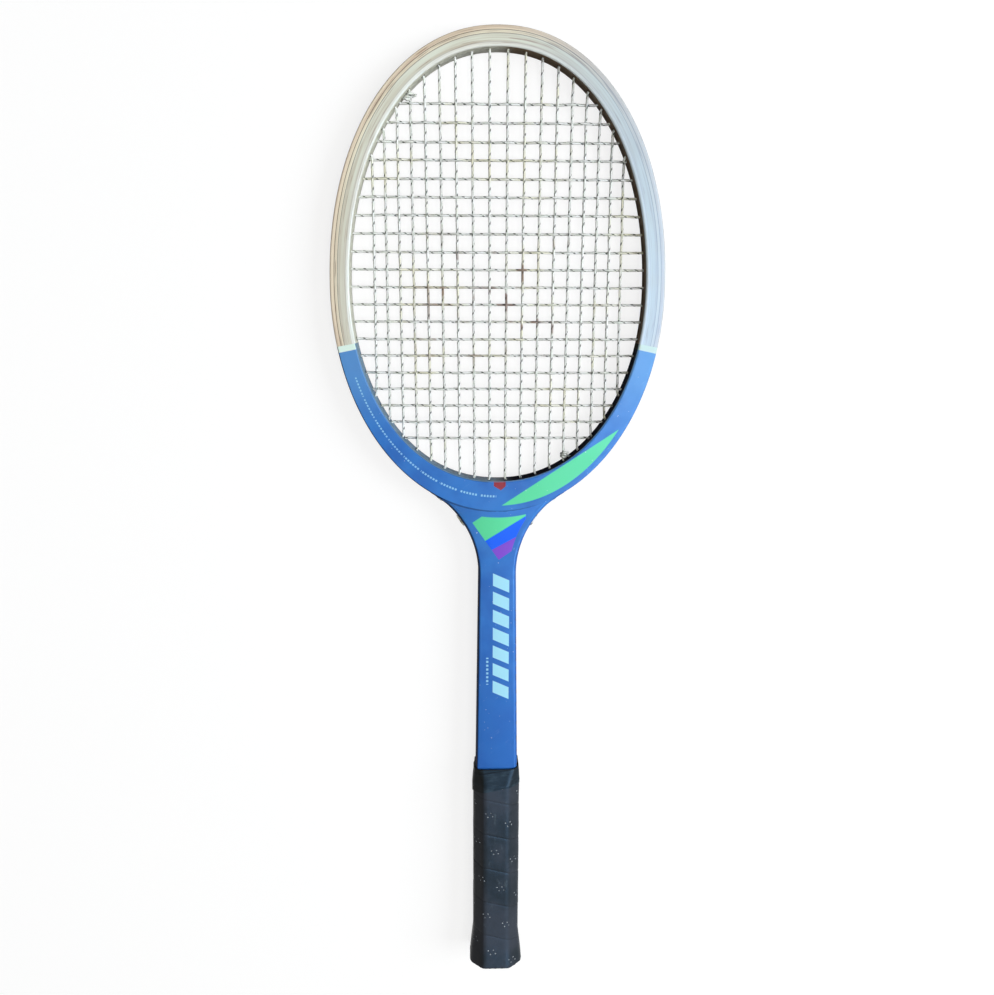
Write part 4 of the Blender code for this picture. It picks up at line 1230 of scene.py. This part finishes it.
on_front = t.ramp(z_in, 0.0, 0.001)
bars = t.all_of(
    between(x_in, -0.0030, 0.0088),
    between(slanted, BARS_LOW, BARS_HIGH),
    between(t.repeats(t.minus(slanted, BARS_LOW), BAR_PITCH), 0.0, 0.68, 0.012),
)
ticks = t.all_of(
    between(x_in, -0.0078, -0.0062),
    between(y_in, 0.2320, 0.2530),
    between(t.repeats(y_in, TICK_PITCH), 0.0, 0.55, 0.05),
)
dashes = t.all_of(
    between(share_in, 0.47, 0.54, 0.01),
    between(run_in, -HALF_RUN + 0.001, -run_at_y(0.4560)),
    between(t.repeats(run_in, DASH_PITCH), 0.0, 0.62, 0.06),
    t.ramp(t.repeats(run_in, DASH_GROUP), 0.10, 0.13),
)
seam_start = t.ramp(x_in, -0.03, 0.02, 0.0003, 0.0001)
seam_end = t.ramp(x_in, -0.03, 0.02, 0.0009, 0.0005)
seam = t.all_of(
    t.falling(t.size(depth_in), seam_start, seam_end),
    t.falling(y_in, 0.3765, 0.3775),
    t.falling(x_in, 0.018, 0.034),
)
print("racket_paint masks", len(paint_group.nodes), "nodes")

# %% Colours of the paint
tone = t.noise(entry["Position"], 40.0, 3)
run_size = t.size(run_in)
cream_mask = t.falling(run_size, CREAM_LOW_RUN - SOFT_EDGE, CREAM_LOW_RUN + SOFT_EDGE)
painted = t.over(
    BLUE,
    (t.ramp(tone, 0.3, 0.7), DEEP_BLUE),
    (t.times(t.falling(y_in, 0.20, 0.30), 0.7), DEEP_BLUE),
    (t.times(t.ramp(y_in, 0.41, 0.47), 0.75), UPPER_BLUE),
    (patch, PURPLE),
    (t.times(patch, left_of(*VIVID_LOW)), VIVID_BLUE),
    (t.times(patch, left_of(*MINT_LOW)), MINT),
    (leaf, MINT),
    (red_mark, RED),
    (t.times(bars, on_front), PALE_CYAN),
    (t.all_of(ticks, on_front, 0.75), PALE_CYAN),
    (t.all_of(dashes, on_front, 0.70), PALE_CYAN),
    (t.times(seam, 0.68), SEAM_DARK),
)
cream = t.mix(t.ramp(x_in, -0.06, 0.06), CREAM, SHADED_CREAM)
t.fill(leave, {"Color": t.mix(cream_mask, painted, cream), "Painted": past(run_size, CREAM_TOP_RUN)})
print("racket_paint group", len(paint_group.nodes), "nodes")

# %% [markdown]
# ### Wear
# A used racket has hairline scratches, small pale nicks and dust in the varnish. Scratches are thin bands
# of a stretched noise, nicks are the peaks of a fine one.

# %% Wear group
wear_group, t, entry, leave = new_group(
    "wear", {"Position": "Vector"}, {"Nicks": "Float", "Scratches": "Float", "Haze": "Float"}
)
where = entry["Position"]
nick_field = t.noise(where, 55.0)
nicks = t.times(t.ramp(t.noise(where, 620.0, 1), 0.75, 0.79), t.ramp(nick_field, 0.45, 0.62))
turned = t.add("ShaderNodeVectorRotate", {"Vector": where, "Angle": 0.9})
hair = t.noise(turned, (900, 40, 300), 1)
lone = t.noise(turned, (260, 24, 90), 1)
scratches = t.all_of(
    t.falling(t.off_middle(hair, 0.5), 0.0, 0.012),
    t.ramp(nick_field, 0.50, 0.62),
    t.ramp(lone, 0.60, 0.68),
)
t.fill(leave, {"Nicks": nicks, "Scratches": scratches, "Haze": t.noise(where, 130.0, 4, 0.6)})
print("wear group", len(wear_group.nodes), "nodes")

# %% [markdown]
# ### The frame's pieces
# All wooden pieces of the frame share one recipe: grain, a dark glue stroke at the edge of the ply, paint
# over it where there is paint, and wear over both. They differ in their wood and in what shows at the edges.
# Some of the room's light is painted into the recipe. Painted light and shade make the hoop's inner wall pale
# on the left and brown on the right, a painted sky sheen makes bare wood bluer on the right, painted shade
# darkens the paint's rounded edges on the left, and a painted highlight runs along the inner edge where it is
# painted.

# %% Frame finishes
GLUE = colour(112, 90, 70)
LIT_WALL = colour(226, 226, 206)
SHADED_WALL = colour(140, 110, 78)
LIT_PAINT_WALL = colour(120, 160, 186)
SHADED_PAINT_WALL = colour(44, 42, 38)
PAINTED_RIM_HIGHLIGHT = colour(150, 196, 232)
PAINTED_SKY_SHEEN = colour(170, 196, 222)
EDGE_SHADE = colour(18, 26, 44)
CHIP = colour(92, 76, 62)
NICK = colour(205, 225, 238)
RUBBED = colour(236, 234, 224)
GLOSS = 0.34
RELIEF = 0.00004
CROWN_RADIUS = 0.105

# Metres under the face: where each band starts, is full, is still full, and ends.
SHADE_BAND = (0.00001, 0.0002, 0.0022, 0.0034)
CHIP_BAND = (0.0004, 0.0012, 0.0014, 0.0026)
RIM_HIGHLIGHT_BAND = (0.0001, 0.0003, 0.0009, 0.0013)
WALL_START = 0.0009
WALL_FULL = 0.0017


def frame_finish(name, pale, dark, pore, glue, bored=False, crowned=False):
    """The finish of one ply or shaft piece. Its gloss is a coat of varnish, which a bored wall has lost.

    A crowned piece is sanded a little round: its relief falls with the square of the way from the middle.
    """
    material, t, shader = new_material(name, 0.5, specular_ior_level=0.0, coat_roughness=0.22)
    position = t.position()
    x_at, _, z_at = t.parts(position)
    under_face = t.minus(HALF_THICKNESS, t.size(z_at))
    run, depth, _ = t.place()
    grained = {"Place": t.joined(run, depth, z_at), "Pale": pale, "Dark": dark, "Pore": pore}
    wood = t.group(grain_group, grained)
    share = t.math("DIVIDE", depth, t.plus(depth, t.kept("from_inside")))
    paint = t.group(paint_group, {"Place": t.joined(run, depth, share), "Position": position})
    wear = t.group(wear_group, {"Position": position})
    uneven = t.noise(t.joined(run, 0.0), 160.0)
    stroke = t.falling(t.kept("within"), 0.00022, t.plus(t.times(uneven, 0.00060), 0.00040))
    bare = t.over(
        wood["Color"],
        (t.times(stroke, glue), GLUE),
        (t.times(wear["Scratches"], 0.3), RUBBED),
        # Painted reflection: a cool sheen of sky makes bare wood bluer towards the right.
        (t.ramp(x_at, -0.01, 0.10, 0.0, 0.55), PAINTED_SKY_SHEEN),
    )
    left_edge = t.times(t.band(under_face, *SHADE_BAND), t.falling(x_at, -0.009, -0.004, 0.9))
    chips = t.all_of(
        t.band(under_face, *CHIP_BAND),
        t.ramp(run, HALF_RUN + 0.02, HALF_RUN + 0.05),
        t.ramp(wear["Haze"], 0.50, 0.56, 0.0, 0.85),
    )
    coloured = t.over(
        paint["Color"],
        (t.times(wear["Nicks"], 0.8), NICK),
        (t.times(wear["Scratches"], 0.16), NICK),
        (left_edge, EDGE_SHADE),
        (chips, CHIP),
    )
    gloss = t.ramp(wear["Haze"], 0.35, 0.75, GLOSS, GLOSS * 0.6)
    if bored:
        wall = t.ramp(under_face, WALL_START, WALL_FULL)
        # Painted highlight: a pale blue line along the rounded inner edge where it is painted.
        rim = t.times(t.band(under_face, *RIM_HIGHLIGHT_BAND), 0.5)
        grime = t.ramp(t.noise(t.joined(run, z_at), 260.0, 3, 0.6), 0.35, 0.70)
        shaded = t.ramp(x_at, -0.004, 0.012)
        bare = t.over(
            bare,
            (t.times(wall, 0.85), t.mix(shaded, LIT_WALL, SHADED_WALL)),
            (t.all_of(wall, grime, 0.35), GLUE),
        )
        coloured = t.over(
            coloured,
            (t.times(wall, 0.9), t.mix(shaded, LIT_PAINT_WALL, SHADED_PAINT_WALL)),
            (t.all_of(wall, grime, 0.5), CHIP),
            (rim, PAINTED_RIM_HIGHLIGHT),
        )
        worn_off = t.math("MAXIMUM", shaded, t.times(grime, 0.5))
        gloss = t.times(gloss, t.minus(1.0, t.times(wall, worn_off)))
    unpainted = t.minus(1.0, t.times(paint["Painted"], 0.9))
    relief = t.plus(t.all_of(wood["Height"], unpainted, 0.5), t.times(wear["Haze"], 0.15))
    relief = t.times(relief, RELIEF)
    if crowned:
        relief = t.minus(relief, t.all_of(x_at, x_at, 0.5 / CROWN_RADIUS))
    surface = t.mix(paint["Painted"], bare, coloured)
    t.fill(shader, {"Base Color": surface, "Coat Weight": gloss, "Normal": t.bump(relief, 1.0)})
    return material


TAN_WOOD = (colour(240, 226, 202), colour(216, 196, 174), colour(164, 138, 118))
SECOND_WOOD = (colour(242, 236, 214), colour(220, 208, 186), colour(160, 136, 116))
CORE_WOOD = (colour(230, 234, 220), colour(206, 200, 182), colour(166, 142, 124))
INNER_WOOD = (colour(248, 252, 246), colour(228, 230, 220), colour(188, 172, 152))
UNDER_PAINT = (colour(206, 200, 178), colour(186, 174, 152), CHIP)
SHAFT_PIECES = ("throat_wedge", "left_side_strip", "right_side_strip", "left_core_strip", "right_core_strip")

for name, wood, glue, shape, solids in (
    ("tan_outer_wood", TAN_WOOD, 0.0, {}, ("outer_ply",)),
    ("second_wood", SECOND_WOOD, 0.85, {}, ("second_ply",)),
    ("pale_core_wood", CORE_WOOD, 0.7, {}, ("core_ply",)),
    ("pale_inner_wood", INNER_WOOD, 0.35, {"bored": True}, ("inner_ply",)),
    ("painted_throat_wood", UNDER_PAINT, 0.0, {}, ("throat_crescent",)),
    ("painted_shaft_wood", UNDER_PAINT, 0.0, {"crowned": True}, SHAFT_PIECES),
):
    finish_with(frame_finish(name, *wood, glue, **shape), *[solid + "_skin" for solid in solids])

# %% [markdown]
# ### Strings
# The string is a twisted bundle of clear fibres with one dark tracer, which shows as a slanting stroke every
# eight millimetres. The place map counts metres along the string and turns round it, so the tracer is simply
# where their difference comes round to zero. Painted shade makes the string's flanks greyer than its front
# and back, and makes the grooves between its strands a little darker.

# %% String finish
TRACER_PITCH = 0.0076
STRANDS = 5
BED_MIDDLE_Y = 0.510
CLEAR = colour(252, 254, 252)
DULL = colour(238, 243, 236)
YELLOWED = colour(236, 228, 190)
STRAND_GROOVE_SHADE = colour(176, 186, 178)
FLANK_SHADE = colour(158, 160, 144)
BALL_DIRT = colour(124, 88, 70)
TRACER = colour(54, 60, 52)

string_finish, t, shader = new_material(
    "twisted_string",
    0.45,
    specular_ior_level=0.10,
    subsurface_weight=0.95,
    subsurface_scale=0.0010,
    subsurface_radius=(1.0, 1.0, 1.0),
)
position = t.position()
x_at, y_at, _ = t.parts(position)
along, around, _ = t.place()
twist = t.math("FRACT", t.minus(around, t.times(along, 1 / TRACER_PITCH)))
shown = t.size(t.math("COSINE", t.times(around, 2 * math.pi)))
tracer = t.times(t.falling(t.off_middle(twist, 0.5), 0.075, 0.120), t.ramp(shown, 0.05, 0.45))
strands = t.off_middle(t.math("FRACT", t.times(twist, STRANDS)), 0.5)
dirt = t.all_of(
    t.ramp(t.noise(position, 48.0), 0.55, 0.63),
    t.falling(t.size(x_at), 0.03, 0.085),
    t.falling(t.off_middle(y_at, BED_MIDDLE_Y), 0.02, 0.06),
    0.75,
)
twisted = t.over(
    CLEAR,
    (t.ramp(t.noise(position, 210.0), 0.35, 0.65), DULL),
    (t.times(t.ramp(t.noise(position, 26.0, 3), 0.48, 0.66), 0.55), YELLOWED),
    # Painted shade: the grooves between the strands are a little darker.
    (t.times(t.ramp(strands, 0.32, 0.5), 0.12), STRAND_GROOVE_SHADE),
    # Painted shade: the flanks are greyer than the string's front and back.
    (t.falling(shown, 0.25, 0.92, 0.50), FLANK_SHADE),
    (dirt, BALL_DIRT),
    (t.times(tracer, 0.92), TRACER),
)
t.fill(shader, {"Base Color": twisted, "Normal": t.bump(t.times(strands, -1.0), 0.00003)})
finish_with(string_finish, "woven_mains", "woven_crosses", "upper_knot_hitch", "lower_knot_hitch")

# Painted shade: each disc is the dark inside of a hole, mottled.
mouth_finish, t, shader = new_material("shaded_bore_mouth", 0.9, specular_ior_level=0.0)
grime = t.noise(t.position(), 700.0, 3, 0.6)
mouth_shade = t.mix(t.ramp(grime, 0.35, 0.65), colour(40, 32, 24), colour(84, 70, 52))
t.fill(shader, {"Base Color": mouth_shade, "Normal": t.bump(grime, 0.00010)})
finish_with(mouth_finish, "bore_mouths")

# %% [markdown]
# ### Grip, tape and the hidden parts
# The grip is dark slate and leather-like. The crests of its wrinkles are paler, partly polished by the hand
# and partly a painted sheen. Its small holes come in groups of four on a slanting lattice, unrolled round the
# handle. Eight steps aside and two steps up make one turn, so the lattice closes on itself. Painted shade
# darkens its left side, the tape's left side and the seams between its turns.

# %% Lattice of the grip's holes
GROUP_DOWN = np.array([0.0040, -0.0308])
GROUP_ASIDE = np.array([(PERIMETER + 2 * GROUP_DOWN[0]) / 8, GROUP_DOWN[1] / 4])
FIRST_GROUP = (-0.0049, 0.1299)
OUTSIDE_STRETCH = 1.086
HOLES = ((-0.0026, 0.0012), (0.0012, 0.0016), (-0.0010, -0.0016), (0.0026, -0.0011))
HOLE_RADIUS = 0.00052
SHADE_START_X = -0.0104
SHADE_END_X = -0.0088

grip_finish, t, shader = new_material("slate_grip", 0.5, specular_ior_level=0.10)
position = t.position()
x_at, y_at, _ = t.parts(position)
along, across, _ = t.place()
away = t.joined(t.minus(along, FIRST_GROUP[0]), t.minus(y_at, FIRST_GROUP[1]))
to_cells = np.linalg.inv(np.stack([GROUP_ASIDE, GROUP_DOWN], 1))
cells = [t.vector("DOT_PRODUCT", away, (*map(float, row), 0.0), 1) for row in to_cells]
aside, down = (t.minus(t.math("FRACT", t.plus(cell, 0.5)), 0.5) for cell in cells)
local_x, local_y = (
    t.plus(t.times(aside, float(GROUP_ASIDE[axis])), t.times(down, float(GROUP_DOWN[axis])))
    for axis in (0, 1)
)
local = t.joined(t.times(local_x, OUTSIDE_STRETCH), local_y)
nearest = t.vector("DISTANCE", local, (*HOLES[0], 0.0), 1)
for hole in HOLES[1:]:
    nearest = t.math("MINIMUM", nearest, t.vector("DISTANCE", local, (*hole, 0.0), 1))
holes = t.falling(nearest, HOLE_RADIUS * 0.7, HOLE_RADIUS * 1.25)
print("lattice steps", GROUP_ASIDE.round(4), GROUP_DOWN.round(4))

# %% Grip finish
SLATE = colour(35, 43, 50)
PALE_SLATE = colour(54, 58, 66)
POLISHED_CREST_SHEEN = colour(88, 98, 104)
SLATE_SHADE = colour(20, 16, 13)
SEAM_SHADE = colour(20, 20, 22)
HOLE_DUST = colour(170, 176, 182)

filled = t.ramp(t.noise(position, 160.0), 0.36, 0.54, 0.35, 0.85)
cloudy = t.noise(position, 34.0, 4, 0.6)
wrinkle = t.noise(position, (160, 60, 160), 4, 0.65)
from_seam = t.math("MINIMUM", across, t.minus(WRAP_PITCH, across))
slate = t.over(
    SLATE,
    (t.ramp(cloudy, 0.35, 0.65), PALE_SLATE),
    # Painted sheen, with some real polish, on the crests of the wrinkles.
    (t.times(t.ramp(wrinkle, 0.60, 0.72), 0.35), POLISHED_CREST_SHEEN),
    (t.falling(x_at, SHADE_START_X, SHADE_END_X, 0.62), SLATE_SHADE),
    (t.falling(from_seam, 0.0001, 0.0008, 0.30), SEAM_SHADE),
    (t.times(holes, filled), HOLE_DUST),
)
rough = t.plus(t.times(t.ramp(cloudy, 0.3, 0.7), 0.2), 0.36)
leather = t.times(t.noise(position, 1500.0, 3, 0.6), 0.35)
relief = t.plus(leather, t.minus(t.times(wrinkle, 1.1), t.times(holes, 1.5)))
t.fill(shader, {"Base Color": slate, "Roughness": rough, "Normal": t.bump(relief, 0.00016)})
finish_with(grip_finish, "wound_grip")

# %% Tape, cap, tacks and handle wood
tape_finish, t, shader = new_material(
    "glossy_tape", 0.4, specular_ior_level=0.06, coat_weight=0.04, coat_roughness=0.30
)
position = t.position()
smear = t.noise(position, (90, 240, 90), 4, 0.6)
tape_colour = t.over(
    colour(28, 38, 46),
    (t.ramp(smear, 0.45, 0.70), colour(52, 66, 76)),
    # Painted shade: the tape's left side is darker.
    (t.falling(t.parts(position)[0], SHADE_START_X, SHADE_END_X, 0.85), colour(18, 18, 14)),
    # Painted shade: a dark line along each turn's upper edge, where it steps down onto the layer below.
    (t.ramp(t.place()[1], TAPE_WIDTH - 0.0010, TAPE_WIDTH - 0.0004, 0.0, 0.85), colour(8, 10, 12)),
)
rough = t.plus(t.times(smear, 0.35), 0.30)
t.fill(shader, {"Base Color": tape_colour, "Roughness": rough, "Normal": t.bump(smear, 0.00012)})
finish_with(tape_finish, "stretched_tape")

cap_finish, t, shader = new_material("moulded_cap", 0.5)
stipple = t.noise(t.position(), 1800.0)
moulded = t.mix(t.noise(t.position(), 60.0, 3), colour(26, 27, 30), colour(40, 42, 46))
rough = t.plus(t.times(stipple, 0.3), 0.35)
t.fill(shader, {"Base Color": moulded, "Roughness": rough, "Normal": t.bump(stipple, 0.00006)})
finish_with(cap_finish, "butt_cap")

tack_finish, t, shader = new_material("bright_tack", 0.3, metallic=1.0)
brushed = t.noise(t.position(), 900.0, 3)
steel = t.mix(brushed, colour(150, 150, 152), colour(186, 186, 188))
t.fill(shader, {"Base Color": steel, "Roughness": t.plus(t.times(brushed, 0.3), 0.15)})
finish_with(tack_finish, *[f"butt_tack_{side}" for side in ("front", "back", "left", "right")])

pallet_finish, t, shader = new_material("handle_wood", 0.6)
wood_x, wood_y, wood_z = t.parts(t.position())
PALLET_WOOD = {"Pale": colour(204, 170, 124), "Dark": colour(176, 138, 96), "Pore": colour(128, 92, 62)}
wood = t.group(grain_group, {"Place": t.joined(wood_y, wood_x, wood_z), **PALLET_WOOD})
t.fill(shader, {"Base Color": wood["Color"], "Normal": t.bump(wood["Height"], 0.0002)})
finish_with(pallet_finish, "front_pallet", "back_pallet")

# %% Floor and room finish
def grey(brightness):
    """A grey without colour, as light and not as it looks."""
    return (brightness, brightness, brightness, 1)


def seen_rays(t):
    """1 for the rays that see the background: the camera's, and those in reflections and in glass."""
    rays = t.node("ShaderNodeLightPath", {}).outputs
    seen = t.math("MAXIMUM", rays["Is Camera Ray"], rays["Is Glossy Ray"])
    return t.math("MAXIMUM", seen, rays["Is Transmission Ray"])


floor_finish, t, shader = new_material("pale_floor", 1.0, specular_ior_level=0.0, emission_strength=1.0)
seen = seen_rays(t)
floor_tone = t.mix(seen, grey(0.06), grey(0.24))
t.fill(shader, {"Base Color": floor_tone, "Emission Color": t.mix(seen, grey(0), grey(0.80))})
finish_with(floor_finish, "floor")

t = Tree(world.node_tree)
t.fill(world.node_tree.nodes["Background"], {"Color": t.mix(seen_rays(t), grey(ROOM_STRENGTH), grey(1))})
